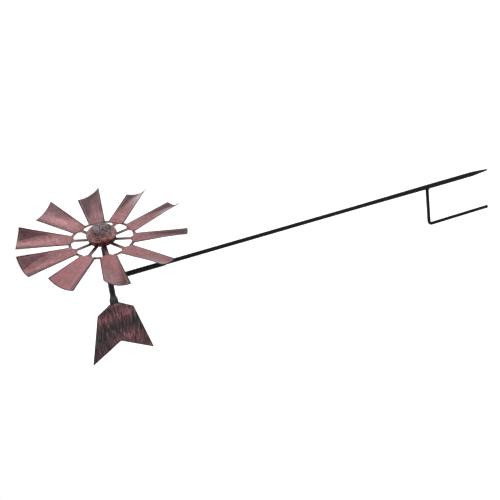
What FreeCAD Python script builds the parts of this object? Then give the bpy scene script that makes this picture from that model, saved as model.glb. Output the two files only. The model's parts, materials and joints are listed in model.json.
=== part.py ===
import FreeCAD, Part
import math
import os

import Sketcher

# A windmill-style wind spinner on a ground stake, in millimetres.
# The origin is on the stake's axis at ground level, just under the foot bar. +Z runs up the pole,
# the wheel faces -Y and the tail points to +Y.

DIMENSIONS = {
    # heights on the pole
    "head_height": 696,
    "pole_joint_height": 178,
    "stake_taper_foot": 1,
    "stake_cone_start": -109,
    "stake_tip": -148,
    # pole, stake and fork
    "pole_diameter": 8,
    "pole_stud_diameter": 5.4,
    "pole_stud_length": 18,
    "pole_top_gap": 9.2,
    "stake_diameter": 10,
    "stake_tip_radius": 1.8,
    "fork_rod_diameter": 7,
    "fork_bar_height": 6,
    "fork_reach": 84,
    "fork_bend_radius": 7,
    "fork_tip": -145,
    "fork_heading": 13.2,
    "fork_weld_radius": 1.2,
    # swivel
    "socket_diameter": 10,
    "socket_bore": 8.1,
    "socket_foot_depth": 108,
    "thrust_pad_thickness": 3.6,
    "socket_weld_radius": 1.5,
    # boom
    "boom_diameter": 11,
    "boom_wall": 1,
    "boom_front": 66,
    "boom_round_end": 37,
    "boom_flat_start": 51,
    "boom_mouth": 57.4,
    "boom_flat_width": 16.7,
    "boom_plug_length": 14,
    # tail vane
    "tail_thickness": 1.2,
    "tail_tongue_start": 46,
    "tail_tongue_width": 14.2,
    "tail_nose_width": 16.7,
    "tail_shoulder_reach": 76,
    "tail_shoulder_width": 71,
    "tail_tip_reach": 191,
    "tail_tip_width": 125,
    "tail_notch_reach": 150.6,
    "tail_tack_radius": 1.5,
    # wheel
    "wheel_setback": 88,
    "wheel_blades": 10,
    "wheel_radius": 152.4,
    "first_blade_angle": 23.4,
    "frame_thickness": 1.2,
    "ring_inner_radius": 54.9,
    "ring_outer_radius": 60.5,
    "spoke_width": 6.8,
    "centre_disc_radius": 22,
    "tab_width": 18,
    "tab_reach": 68,
    # blades
    "blade_thickness": 0.8,
    "blade_root_radius": 55.2,
    "blade_root_width": 29.6,
    "blade_flat_reach": 60.6,
    "blade_flat_width": 30.6,
    "blade_tip_reach": 153,
    "blade_tip_chord": 47.5,
    "blade_tip_camber": 6.25,
    "blade_tip_forward": 10.3,
    "blade_tip_pitch": 23.4,
    "bent_blade_extra": 5.3,
    # hub
    "hub_drum_radius": 25,
    "hub_drum_depth": 15.1,
    "hub_wall": 1,
    "hub_rim_radius": 27.3,
    "hub_rim_reach": 13.6,
    "hub_rim_lip": 2.5,
    "hub_dome_height": 16,
    "hub_barrel_radius": 7,
    "hub_barrel_half_length": 9,
    "hub_flange_radius": 13,
    "hub_flange_thickness": 1.5,
    "hub_rivet_circle": 10,
    "hub_rivet_radius": 1.5,
    "hub_rivet_head_radius": 2.6,
    "hub_rivet_head_height": 1.2,
    # axle
    "axle_radius": 3,
    "axle_end_reach": 34,
    "axle_head_radius": 5,
    "axle_head_height": 4,
    "bush_bore_radius": 3.05,
    "bush_outer_radius": 5,
    "bush_length": 8,
    "bush_flange": 1.2,
    "bush_end_gap": 0.15,
    "washer_radius": 6,
    "washer_thickness": 1,
    "spacer_radius": 4.6,
    "axle_nut_width": 10,
    "axle_nut_height": 5,
}
RIVET_ANGLES = (45, 135, 225, 315)
# Index of the one blade that stands further forward than the others.
BENT_BLADE = 4

doc = FreeCAD.newDocument("wind_spinner")
sheet = doc.addObject("Spreadsheet::Sheet", "dims")
for row, (alias, size) in enumerate(DIMENSIONS.items(), start=1):
    sheet.set(f"A{row}", alias)
    sheet.set(f"B{row}", str(size))
    sheet.setAlias(f"B{row}", alias)
doc.recompute()

subparts = []


# ---- helpers -------------------------------------------------------------------------------------


def number(expression):
    """The value, in mm or degrees, of an expression of the sheet's aliases."""
    return float(sheet.evalExpression(expression))


def bind(thing, **sizes):
    """Tie each named property of an object to an expression."""
    for name, expression in sizes.items():
        thing.setExpression(name, expression)
    return thing


def place(piece, x="0", y="0", z="0", axis=(0, 0, 1), angle="0"):
    """Put an object at x, y, z, turned about an axis, all tied to the sheet."""
    turn = FreeCAD.Rotation(FreeCAD.Vector(*axis), number(angle))
    piece.Placement = FreeCAD.Placement(FreeCAD.Vector(number(x), number(y), number(z)), turn)
    for path, expression in (("Base.x", x), ("Base.y", y), ("Base.z", z), ("Rotation.Angle", angle)):
        if expression != "0":
            piece.setExpression("Placement." + path, expression)
    return piece


def keep(piece, name):
    """Name an object as a sub-part of the assembly."""
    piece.Label = name
    subparts.append(piece)
    return piece


def new_body(name):
    return keep(doc.addObject("PartDesign::Body", name), name)


def sketch_on(body, role, name, offset="0"):
    """A sketch on one of the body's own origin planes, moved along the plane's normal."""
    sketch = body.newObject("Sketcher::SketchObject", name)
    plane = next(feature for feature in body.Origin.OriginFeatures if feature.Role == role)
    sketch.AttachmentSupport = (plane, "")
    sketch.MapMode = "FlatFace"
    if offset != "0":
        sketch.setExpression("AttachmentOffset.Base.z", offset)
    return sketch


def hold_point(sketch, geometry, end, x, y):
    """Fix one end of a sketch edge at x, y, each an expression."""
    for direction, axis, expression in (("DistanceX", -2, x), ("DistanceY", -1, y)):
        if expression == "0":
            sketch.addConstraint(Sketcher.Constraint("PointOnObject", geometry, end, axis))
        else:
            size = number(expression)
            index = sketch.addConstraint(Sketcher.Constraint(direction, -1, 1, geometry, end, size))
            sketch.setExpression(f"Constraints[{index}]", expression)


def draw_outline(sketch, corners):
    """A closed outline of straight lines; each corner is a pair of expressions."""
    points = [FreeCAD.Vector(number(x), number(y), 0) for x, y in corners]
    first = sketch.GeometryCount
    for start, end in zip(points, points[1:] + points[:1]):
        sketch.addGeometry(Part.LineSegment(start, end), False)
    for index, (x, y) in enumerate(corners):
        following = (index + 1) % len(corners)
        sketch.addConstraint(Sketcher.Constraint("Coincident", first + index, 2, first + following, 1))
        hold_point(sketch, first + index, 1, x, y)


def draw_circle(sketch, radius, x="0", y="0"):
    """A circle held by its centre and radius."""
    centre = FreeCAD.Vector(number(x), number(y), 0)
    circle = Part.Circle(centre, FreeCAD.Vector(0, 0, 1), number(radius))
    geometry = sketch.addGeometry(circle, False)
    hold_point(sketch, geometry, 3, x, y)
    index = sketch.addConstraint(Sketcher.Constraint("Radius", geometry, number(radius)))
    sketch.setExpression(f"Constraints[{index}]", radius)


def draw_slot(sketch, half_length, radius):
    """A slot along the sketch's upright axis: two straight sides and two round ends."""
    reach = number(half_length) - number(radius)
    size = number(radius)
    up = FreeCAD.Vector(0, reach, 0)
    across = FreeCAD.Vector(size, 0, 0)
    normal = FreeCAD.Vector(0, 0, 1)
    top = sketch.addGeometry(Part.ArcOfCircle(Part.Circle(up, normal, size), 0, math.pi), False)
    left = sketch.addGeometry(Part.LineSegment(up - across, -up - across), False)
    foot_arc = Part.ArcOfCircle(Part.Circle(-up, normal, size), math.pi, 2 * math.pi)
    foot = sketch.addGeometry(foot_arc, False)
    right = sketch.addGeometry(Part.LineSegment(across - up, up + across), False)
    loop = (top, left, foot, right)
    for edge, following in zip(loop, loop[1:] + loop[:1]):
        sketch.addConstraint(Sketcher.Constraint("Coincident", edge, 2, following, 1))
    hold_point(sketch, top, 3, "0", f"({half_length}) - ({radius})")
    hold_point(sketch, foot, 3, "0", f"({radius}) - ({half_length})")
    hold_point(sketch, top, 1, radius, f"({half_length}) - ({radius})")
    hold_point(sketch, foot, 1, f"-({radius})", f"({radius}) - ({half_length})")


def pad(body, sketch, length, name, both_ways=False, reverse=False):
    """Material added along the sketch's normal."""
    feature = body.newObject("PartDesign::Pad", name)
    feature.Profile = sketch
    feature.Midplane = both_ways
    feature.Reversed = reverse
    return bind(feature, Length=length)


def cut_through(body, sketch, name):
    """A pocket right through the body, both ways from its sketch; it has to take material away."""
    doc.recompute()
    before = body.Shape.Volume
    feature = body.newObject("PartDesign::Pocket", name)
    feature.Profile = sketch
    feature.Type = "ThroughAll"
    feature.Midplane = True
    doc.recompute()
    if body.Shape.Volume >= before:
        raise ValueError(name + " cuts nothing")
    return feature


def turned(name, role, corners):
    """A body turned about its sketch's upright axis from corners of (radius, height along it)."""
    body = new_body(name)
    sketch = sketch_on(body, role, name + "_profile")
    draw_outline(sketch, corners)
    feature = body.newObject("PartDesign::Revolution", name + "_turn")
    feature.Profile = sketch
    feature.ReferenceAxis = (sketch, ["V_Axis"])
    feature.Angle = 360
    return body


def primitive(kind, name, **sizes):
    return bind(doc.addObject("Part::" + kind, name), **sizes)


def cut(name, base, tool):
    result = doc.addObject("Part::Cut", name)
    result.Base = base
    result.Tool = tool
    return result


def fuse(name, shapes):
    result = doc.addObject("Part::MultiFuse", name)
    result.Shapes = shapes
    return result


def at_head(piece):
    """Put a piece drawn about the boom's axis at the pole onto the head."""
    return place(piece, z="dims.head_height")


def at_wheel(piece):
    """Put a piece drawn about the wheel's centre onto the wheel, turned as the wheel is."""
    return place(
        piece,
        y="-dims.wheel_setback",
        z="dims.head_height",
        axis=(0, 1, 0),
        angle="dims.first_blade_angle",
    )


# ---- ground stake --------------------------------------------------------------------------------


def lower_stake():
    """Stake that tapers up to the pole's thickness, with a pointed end and a hole for the stud."""
    turned("lower_stake", "XZ_Plane", [
        ("0", "dims.stake_tip"),
        ("dims.stake_tip_radius", "dims.stake_tip + dims.stake_tip_radius / 2"),
        ("dims.stake_diameter / 2", "dims.stake_cone_start"),
        ("dims.stake_diameter / 2", "dims.stake_taper_foot"),
        ("dims.pole_diameter / 2", "dims.pole_joint_height"),
        ("dims.pole_stud_diameter / 2", "dims.pole_joint_height"),
        ("dims.pole_stud_diameter / 2", "dims.pole_joint_height - dims.pole_stud_length - 1"),
        ("0", "dims.pole_joint_height - dims.pole_stud_length - 1"),
    ])


def upper_pole():
    """Plain rod with a stud at its foot and a rounded top that bears in the socket."""
    turned("upper_pole", "XZ_Plane", [
        ("0", "dims.pole_joint_height - dims.pole_stud_length"),
        ("dims.pole_stud_diameter / 2 - 0.05", "dims.pole_joint_height - dims.pole_stud_length"),
        ("dims.pole_stud_diameter / 2 - 0.05", "dims.pole_joint_height"),
        ("dims.pole_diameter / 2", "dims.pole_joint_height"),
        ("dims.pole_diameter / 2", "dims.head_height - dims.pole_top_gap - 2"),
        ("dims.pole_diameter / 4", "dims.head_height - dims.pole_top_gap - 0.5"),
        ("0", "dims.head_height - dims.pole_top_gap"),
    ])


def foot_fork():
    """Rod welded square to the stake, bent down into a second prong beside it."""
    body = new_body("foot_fork")
    path = sketch_on(body, "YZ_Plane", "fork_path")
    reach = number("dims.fork_reach")
    bend = number("dims.fork_bend_radius")
    prong_end = "dims.fork_tip - dims.fork_bar_height"
    tip = number(prong_end)
    bar = Part.LineSegment(FreeCAD.Vector(0, 0, 0), FreeCAD.Vector(reach - bend, 0, 0))
    bend_circle = Part.Circle(FreeCAD.Vector(reach - bend, -bend, 0), FreeCAD.Vector(0, 0, 1), bend)
    corner = Part.ArcOfCircle(bend_circle, 0, math.pi / 2)
    prong = Part.LineSegment(FreeCAD.Vector(reach, -bend, 0), FreeCAD.Vector(reach, tip, 0))
    for edge in (bar, corner, prong):
        path.addGeometry(edge, False)
    path.addConstraint(Sketcher.Constraint("Coincident", 0, 1, -1, 1))
    path.addConstraint(Sketcher.Constraint("Tangent", 0, 2, 1, 2))
    path.addConstraint(Sketcher.Constraint("Tangent", 1, 1, 2, 1))
    path.addConstraint(Sketcher.Constraint("Horizontal", 0))
    radius = path.addConstraint(Sketcher.Constraint("Radius", 1, bend))
    path.setExpression(f"Constraints[{radius}]", "dims.fork_bend_radius")
    hold_point(path, 2, 2, "dims.fork_reach", prong_end)
    section = sketch_on(body, "XZ_Plane", "fork_section")
    draw_circle(section, "dims.fork_rod_diameter / 2")
    pipe = body.newObject("PartDesign::AdditivePipe", "fork_pipe")
    pipe.Profile = section
    pipe.Spine = path
    doc.recompute()
    seat = sketch_on(body, "XY_Plane", "fork_seat")
    draw_circle(seat, "dims.stake_diameter / 2")
    cut_through(body, seat, "fork_cope")
    place(body, z="dims.fork_bar_height", angle="dims.fork_heading")


def fork_weld():
    """Weld fillet round the foot bar where it meets the stake."""
    bead = primitive(
        "Torus", "fork_bead",
        Radius1="dims.fork_rod_diameter / 2 + dims.fork_weld_radius * 0.25",
        Radius2="dims.fork_weld_radius",
    )
    place(bead, y="dims.stake_diameter / 2", axis=(1, 0, 0), angle="90")
    bar = primitive("Cylinder", "fork_bar_space", Radius="dims.fork_rod_diameter / 2", Height="20")
    place(bar, y="20", axis=(1, 0, 0), angle="90")
    stake = primitive("Cylinder", "stake_space", Radius="dims.stake_diameter / 2", Height="20")
    place(stake, z="-10")
    weld = cut("fork_weld", cut("fork_bead_on_bar", bead, bar), stake)
    keep(place(weld, z="dims.fork_bar_height", angle="dims.fork_heading"), "fork_weld")


# ---- head ----------------------------------------------------------------------------------------


def boom_tube():
    """Round tube whose tail end is pressed flat, upright, round the vane's tongue."""
    body = new_body("boom_tube")
    inner = "dims.boom_diameter / 2 - dims.boom_wall"
    flat = "dims.tail_thickness / 2"
    front = sketch_on(body, "XZ_Plane", "boom_section", "-dims.boom_round_end")
    draw_circle(front, "dims.boom_diameter / 2")
    pad(body, front, "dims.boom_front + dims.boom_round_end", "boom_round")
    mouth = sketch_on(body, "XZ_Plane", "boom_mouth_section", "-dims.boom_flat_start")
    draw_slot(mouth, "dims.boom_flat_width / 2", f"{flat} + dims.boom_wall")
    squeeze = body.newObject("PartDesign::AdditiveLoft", "boom_squeeze")
    squeeze.Profile = front
    squeeze.Sections = [mouth]
    squeeze.Ruled = True
    pad(body, mouth, "dims.boom_mouth - dims.boom_flat_start", "boom_flat", reverse=True)
    doc.recompute()
    solid_volume = body.Shape.Volume
    bore = sketch_on(body, "XZ_Plane", "boom_bore_section", "-dims.boom_round_end")
    draw_circle(bore, inner)
    hollow = body.newObject("PartDesign::Pocket", "boom_bore")
    hollow.Profile = bore
    hollow.Reversed = True
    bind(hollow, Length="dims.boom_front + dims.boom_round_end")
    slot = sketch_on(body, "XZ_Plane", "boom_slot_section", "-dims.boom_flat_start")
    draw_slot(slot, "dims.boom_flat_width / 2 - dims.boom_wall", flat)
    narrowing = body.newObject("PartDesign::SubtractiveLoft", "boom_narrowing")
    narrowing.Profile = bore
    narrowing.Sections = [slot]
    narrowing.Ruled = True
    opening = body.newObject("PartDesign::Pocket", "boom_slot")
    opening.Profile = slot
    bind(opening, Length="dims.boom_mouth - dims.boom_flat_start")
    doc.recompute()
    if body.Shape.Volume > 0.5 * solid_volume:
        raise ValueError("the boom is not hollow all the way")
    at_head(body)


def tail_plate():
    """Arrow-fletching vane of flat sheet with a tongue held in the flattened boom."""
    body = new_body("tail_plate")
    sketch = sketch_on(body, "YZ_Plane", "tail_outline")
    upper = [
        ("dims.tail_tongue_start", "dims.tail_tongue_width / 2"),
        ("dims.boom_mouth", "dims.tail_tongue_width / 2"),
        ("dims.boom_mouth", "dims.tail_nose_width / 2"),
        ("dims.tail_shoulder_reach", "dims.tail_shoulder_width / 2"),
        ("dims.tail_tip_reach", "dims.tail_tip_width / 2"),
    ]
    lower = [(reach, f"-({height})") for reach, height in reversed(upper)]
    draw_outline(sketch, upper + [("dims.tail_notch_reach", "0")] + lower)
    pad(body, sketch, "dims.tail_thickness", "tail_sheet", both_ways=True)
    at_head(body)


def tail_welds():
    """Four tacks that fix the vane at the corners of the boom's mouth."""
    tacks = []
    for side in (-1, 1):
        for end in (-1, 1):
            tack = primitive("Sphere", f"tail_tack_{len(tacks)}", Radius="dims.tail_tack_radius")
            place(
                tack,
                x=f"{side} * dims.tail_thickness",
                y="dims.boom_mouth",
                z=f"{end} * dims.tail_tongue_width * 0.4",
            )
            tacks.append(tack)
    sheet_space = primitive(
        "Box", "tail_sheet_space",
        Length="dims.tail_thickness", Width="20", Height="dims.boom_flat_width",
    )
    place(
        sheet_space,
        x="-dims.tail_thickness / 2",
        y="dims.boom_mouth - 10",
        z="-dims.boom_flat_width / 2",
    )
    mouth_space = primitive(
        "Box", "boom_mouth_space",
        Length="dims.tail_thickness + 2 * dims.boom_wall", Width="10", Height="dims.boom_flat_width",
    )
    place(
        mouth_space,
        x="-dims.tail_thickness / 2 - dims.boom_wall",
        y="dims.boom_mouth - 10",
        z="-dims.boom_flat_width / 2",
    )
    welds = cut("tail_welds", fuse("tail_tacks", tacks), fuse("tail_joint", [sheet_space, mouth_space]))
    keep(at_head(welds), "tail_welds")


def boom_space(name):
    """The round boom near the pole, as a tool for what is shaped to fit it."""
    tool = primitive("Cylinder", name, Radius="dims.boom_diameter / 2", Height="60")
    return place(tool, y="30", axis=(1, 0, 0), angle="90")


def pivot_socket():
    """Tube under the boom that turns on the pole, its top shaped to the boom's underside."""
    depth = "dims.socket_foot_depth"
    outside = primitive("Cylinder", "socket_outside", Radius="dims.socket_diameter / 2", Height=depth)
    inside = primitive("Cylinder", "socket_inside", Radius="dims.socket_bore / 2", Height=depth)
    for cylinder in (outside, inside):
        place(cylinder, z="-dims.socket_foot_depth")
    socket = cut("pivot_socket", cut("socket_tube", outside, inside), boom_space("socket_boom_space"))
    keep(at_head(socket), "pivot_socket")


def thrust_pad():
    """Plug in the top of the socket that rides on the pole's rounded end."""
    height = "dims.thrust_pad_thickness + dims.boom_diameter / 2"
    plug = primitive("Cylinder", "thrust_plug", Radius="dims.socket_bore / 2", Height=height)
    place(plug, z=f"-({height})")
    keep(at_head(cut("thrust_pad", plug, boom_space("thrust_boom_space"))), "thrust_pad")


def socket_weld():
    """Weld fillet where the socket meets the boom."""
    bead = primitive(
        "Torus", "socket_bead",
        Radius1="dims.socket_diameter / 2 + dims.socket_weld_radius * 0.25",
        Radius2="dims.socket_weld_radius",
    )
    place(bead, z="-dims.boom_diameter / 2 + 0.2")
    post = primitive("Cylinder", "socket_post_space", Radius="dims.socket_diameter / 2", Height="20")
    place(post, z="-20")
    weld = cut("socket_weld", cut("socket_bead_on_post", bead, post), boom_space("weld_boom_space"))
    keep(at_head(weld), "socket_weld")


def boom_plug():
    """Threaded plug in the boom's front end that takes the axle bolt."""
    outer = "dims.boom_diameter / 2 - dims.boom_wall"
    back = "dims.boom_plug_length - dims.boom_front"
    at_head(turned("boom_plug", "XY_Plane", [
        ("dims.axle_radius", "-dims.boom_front"),
        (outer, "-dims.boom_front"),
        (outer, back),
        ("dims.axle_radius", back),
    ]))


# ---- axle ----------------------------------------------------------------------------------------

BUSH_END = "dims.hub_barrel_half_length + dims.bush_flange"
WASHER_INNER = f"{BUSH_END} + dims.bush_end_gap"
WASHER_OUTER = f"{WASHER_INNER} + dims.washer_thickness"
NUT_FRONT = "dims.wheel_setback - dims.boom_front - dims.axle_nut_height"


def axle_bolt():
    """Round-headed bolt that the wheel turns on, from inside the hub cap into the boom."""
    at_wheel(turned("axle_bolt", "XY_Plane", [
        ("0", f"-({WASHER_OUTER}) - dims.axle_head_height"),
        ("dims.axle_head_radius * 0.7", f"-({WASHER_OUTER}) - dims.axle_head_height"),
        ("dims.axle_head_radius", f"-({WASHER_OUTER}) - dims.axle_head_height * 0.5"),
        ("dims.axle_head_radius", f"-({WASHER_OUTER})"),
        ("dims.axle_radius", f"-({WASHER_OUTER})"),
        ("dims.axle_radius", "dims.axle_end_reach"),
        ("0", "dims.axle_end_reach"),
    ]))


def axle_washers():
    """One washer at each end of the wheel's bushes."""
    rings = []
    for name, y in (("front_washer", f"-({WASHER_INNER})"), ("rear_washer", WASHER_OUTER)):
        thickness = "dims.washer_thickness"
        rim = primitive("Cylinder", name + "_rim", Radius="dims.washer_radius", Height=thickness)
        hole = primitive("Cylinder", name + "_hole", Radius="dims.axle_radius", Height=thickness)
        for cylinder in (rim, hole):
            place(cylinder, y=y, axis=(1, 0, 0), angle="90")
        rings.append(cut(name, rim, hole))
    keep(at_wheel(fuse("axle_washers", rings)), "axle_washers")


def axle_spacer():
    """Sleeve that holds the wheel off the jam nut."""
    at_wheel(turned("axle_spacer", "XY_Plane", [
        ("dims.axle_radius", WASHER_OUTER),
        ("dims.spacer_radius", WASHER_OUTER),
        ("dims.spacer_radius", NUT_FRONT),
        ("dims.axle_radius", NUT_FRONT),
    ]))


def axle_nut():
    """Hexagonal jam nut against the boom's front end."""
    prism = doc.addObject("Part::Prism", "nut_prism")
    prism.Polygon = 6
    bind(prism, Circumradius="dims.axle_nut_width / sqrt(3)", Height="dims.axle_nut_height")
    thread = primitive("Cylinder", "nut_thread", Radius="dims.axle_radius", Height="dims.axle_nut_height")
    back = "dims.wheel_setback - dims.boom_front"
    for solid in (prism, thread):
        place(solid, y=back, axis=(1, 0, 0), angle="90")
    keep(at_wheel(cut("axle_nut", prism, thread)), "axle_nut")


# ---- wheel ---------------------------------------------------------------------------------------


def draw_rivet_holes(sketch):
    for angle in RIVET_ANGLES:
        x = f"dims.hub_rivet_circle * cos({angle} deg)"
        y = f"dims.hub_rivet_circle * sin({angle} deg)"
        draw_circle(sketch, "dims.hub_rivet_radius", x, y)


def spoke_frame():
    """Flat pressed frame: centre disc, straight spokes, ring and a round-ended tab for each blade."""
    body = new_body("spoke_frame")
    ring = sketch_on(body, "XZ_Plane", "ring_outline")
    draw_circle(ring, "dims.ring_outer_radius")
    draw_circle(ring, "dims.ring_inner_radius")
    pad(body, ring, "dims.frame_thickness", "ring_sheet", both_ways=True)
    arm = sketch_on(body, "XZ_Plane", "spoke_and_tab_outline")
    half = "dims.spoke_width / 2"
    inner = "dims.centre_disc_radius * 0.9"
    outer = "(dims.ring_inner_radius + dims.ring_outer_radius) / 2"
    draw_outline(arm, [(f"-{half}", inner), (half, inner), (half, outer), (f"-{half}", outer)])
    spoke = pad(body, arm, "dims.frame_thickness", "spoke_sheet", both_ways=True)
    strip = sketch_on(body, "XZ_Plane", "tab_outline")
    side = "dims.tab_width / 2"
    round_centre = "dims.tab_reach - dims.tab_width / 2"
    draw_outline(strip, [
        (f"-{side}", outer),
        (side, outer),
        (side, round_centre),
        (f"-{side}", round_centre),
    ])
    tab = pad(body, strip, "dims.frame_thickness", "tab_sheet", both_ways=True)
    end = sketch_on(body, "XZ_Plane", "tab_end_outline")
    draw_circle(end, side, "0", round_centre)
    tab_end = pad(body, end, "dims.frame_thickness", "tab_end_sheet", both_ways=True)
    doc.recompute()
    pattern = body.newObject("PartDesign::PolarPattern", "arms_round_the_wheel")
    pattern.Originals = [spoke, tab, tab_end]
    pattern.Axis = (ring, ["N_Axis"])
    pattern.Angle = 360
    bind(pattern, Occurrences="dims.wheel_blades")
    body.Tip = pattern
    doc.recompute()
    disc = sketch_on(body, "XZ_Plane", "centre_disc_outline")
    draw_circle(disc, "dims.centre_disc_radius")
    pad(body, disc, "dims.frame_thickness", "centre_disc_sheet", both_ways=True)
    holes = sketch_on(body, "XZ_Plane", "centre_holes")
    draw_circle(holes, "dims.hub_barrel_radius")
    cut_through(body, holes, "barrel_hole")
    rivets = sketch_on(body, "XZ_Plane", "frame_rivet_holes")
    draw_rivet_holes(rivets)
    cut_through(body, rivets, "frame_rivet_pocket")
    at_wheel(body)


def blade(index):
    """Sheet blade: flat on the ring, cambered and pitched more and more towards its round-cut tip."""
    name = f"blade_{index + 1:02d}"
    body = new_body(name)
    root = sketch_on(body, "XZ_Plane", name + "_root")
    half_root = "dims.blade_root_width / 2"
    half_flat = "dims.blade_flat_width / 2"
    draw_outline(root, [
        (f"-{half_root}", "dims.blade_root_radius"),
        (half_root, "dims.blade_root_radius"),
        (half_flat, "dims.blade_flat_reach"),
        (f"-{half_flat}", "dims.blade_flat_reach"),
    ])
    pad(body, root, "dims.blade_thickness", name + "_flat", both_ways=True)
    start = sketch_on(body, "XY_Plane", name + "_start", "dims.blade_flat_reach")
    half_sheet = "dims.blade_thickness / 2"
    draw_outline(start, [
        (f"-{half_flat}", f"-{half_sheet}"),
        (half_flat, f"-{half_sheet}"),
        (half_flat, half_sheet),
        (f"-{half_flat}", half_sheet),
    ])
    forward = "dims.blade_tip_forward"
    if index == BENT_BLADE:
        forward = "(dims.blade_tip_forward + dims.bent_blade_extra)"
    tip = sketch_on(body, "XY_Plane", name + "_tip", "dims.blade_tip_reach")
    tip.AttachmentOffset = FreeCAD.Placement(
        FreeCAD.Vector(0, -number(forward), number("dims.blade_tip_reach")),
        FreeCAD.Rotation(FreeCAD.Vector(0, 0, 1), -number("dims.blade_tip_pitch")),
    )
    tip.setExpression("AttachmentOffset.Base.y", f"-{forward}")
    tip.setExpression("AttachmentOffset.Rotation.Angle", "-dims.blade_tip_pitch")
    draw_camber(tip)
    curve = body.newObject("PartDesign::AdditiveLoft", name + "_curve")
    curve.Profile = start
    curve.Sections = [tip]
    curve.Ruled = True
    rim = sketch_on(body, "XZ_Plane", name + "_rim")
    draw_circle(rim, "dims.wheel_radius")
    draw_circle(rim, "dims.wheel_radius + 10")
    cut_through(body, rim, name + "_round_tip")
    place(
        body,
        y="-dims.wheel_setback - (dims.frame_thickness + dims.blade_thickness) / 2",
        z="dims.head_height",
        axis=(0, 1, 0),
        angle=f"dims.first_blade_angle + {index} * 360 / dims.wheel_blades",
    )


def draw_camber(sketch):
    """The blade's tip section: a curved band whose hollow side faces the front."""
    half = number("dims.blade_tip_chord / 2")
    camber = number("dims.blade_tip_camber")
    sheet_half = number("dims.blade_thickness / 2")
    radius = (half ** 2 + camber ** 2) / (2 * camber)
    centre = FreeCAD.Vector(0, camber - radius, 0)
    spread = math.asin(half / radius)
    arcs = []
    for size in (radius - sheet_half, radius + sheet_half):
        circle = Part.Circle(centre, FreeCAD.Vector(0, 0, 1), size)
        arcs.append(Part.ArcOfCircle(circle, math.pi / 2 - spread, math.pi / 2 + spread))
    inner, outer = arcs
    sketch.addGeometry(inner, False)
    sketch.addGeometry(Part.LineSegment(inner.EndPoint, outer.EndPoint), False)
    sketch.addGeometry(outer, False)
    sketch.addGeometry(Part.LineSegment(outer.StartPoint, inner.StartPoint), False)
    for one, one_end, other, other_end in ((0, 2, 1, 1), (1, 2, 2, 2), (2, 1, 3, 1), (3, 2, 0, 1)):
        sketch.addConstraint(Sketcher.Constraint("Coincident", one, one_end, other, other_end))
    bow = "((dims.blade_tip_chord ^ 2 / 4 + dims.blade_tip_camber ^ 2) / (2 * dims.blade_tip_camber))"
    for arc, side in ((0, -1), (2, 1)):
        rim = f"({bow} + {side} * dims.blade_thickness / 2)"
        hold_point(sketch, arc, 3, "0", f"dims.blade_tip_camber - {bow}")
        index = sketch.addConstraint(Sketcher.Constraint("Radius", arc, number(rim)))
        sketch.setExpression(f"Constraints[{index}]", rim)
        for end, sign in ((1, 1), (2, -1)):
            reach = f"{sign} * dims.blade_tip_chord / 2 * {rim} / {bow}"
            index = sketch.addConstraint(Sketcher.Constraint("DistanceX", -1, 1, arc, end, number(reach)))
            sketch.setExpression(f"Constraints[{index}]", reach)


# ---- hub -----------------------------------------------------------------------------------------


def hub_drum():
    """Shallow cup on the front of the wheel that carries the domed cap."""
    front = "-dims.frame_thickness / 2"
    floor = f"{front} - dims.hub_wall"
    body = turned("hub_drum", "XY_Plane", [
        ("dims.hub_barrel_radius", front),
        ("dims.hub_drum_radius", front),
        ("dims.hub_drum_radius", "-dims.hub_drum_depth"),
        ("dims.hub_drum_radius - dims.hub_wall", "-dims.hub_drum_depth"),
        ("dims.hub_drum_radius - dims.hub_wall", floor),
        ("dims.hub_barrel_radius", floor),
    ])
    rivets = sketch_on(body, "XZ_Plane", "drum_rivet_holes")
    draw_rivet_holes(rivets)
    cut_through(body, rivets, "drum_rivet_pocket")
    at_wheel(body)


def hub_dome():
    """Domed cap whose rim overhangs the cup."""
    bulge = "((dims.hub_rim_radius ^ 2 + dims.hub_dome_height ^ 2) / (2 * dims.hub_dome_height))"
    centre_drop = f"{bulge} - dims.hub_dome_height"
    outer = primitive("Sphere", "dome_outside", Radius=bulge, Angle1=f"asin(({centre_drop}) / {bulge})")
    inner = primitive("Sphere", "dome_inside", Radius=f"{bulge} - dims.hub_wall")
    inside_radius = "dims.hub_rim_radius - dims.hub_wall"
    rim = primitive("Cylinder", "rim_outside", Radius="dims.hub_rim_radius", Height="dims.hub_rim_lip")
    hole = primitive("Cylinder", "rim_inside", Radius=inside_radius, Height="dims.hub_rim_lip")
    for lip in (rim, hole):
        place(lip, z=f"{centre_drop} - dims.hub_rim_lip")
    dome = fuse("hub_dome", [cut("dome_shell", outer, inner), cut("rim_band", rim, hole)])
    keep(dome, "hub_dome")
    place(
        dome,
        y=f"-dims.wheel_setback - dims.hub_rim_reach + {centre_drop}",
        z="dims.head_height",
        axis=(1, 0, 0),
        angle="90",
    )


def hub_barrel():
    """Flanged sleeve through the wheel, bored for the two bushes."""
    back = "dims.frame_thickness / 2"
    length = "dims.hub_barrel_half_length"
    flange = f"{back} + dims.hub_flange_thickness"
    body = turned("hub_barrel", "XY_Plane", [
        ("dims.bush_outer_radius", f"-{length}"),
        ("dims.hub_barrel_radius", f"-{length}"),
        ("dims.hub_barrel_radius", back),
        ("dims.hub_flange_radius", back),
        ("dims.hub_flange_radius", flange),
        ("dims.hub_barrel_radius", flange),
        ("dims.hub_barrel_radius", length),
        ("dims.bush_outer_radius", length),
    ])
    rivets = sketch_on(body, "XZ_Plane", "flange_rivet_holes")
    draw_rivet_holes(rivets)
    cut_through(body, rivets, "flange_rivet_pocket")
    at_wheel(body)


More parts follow.
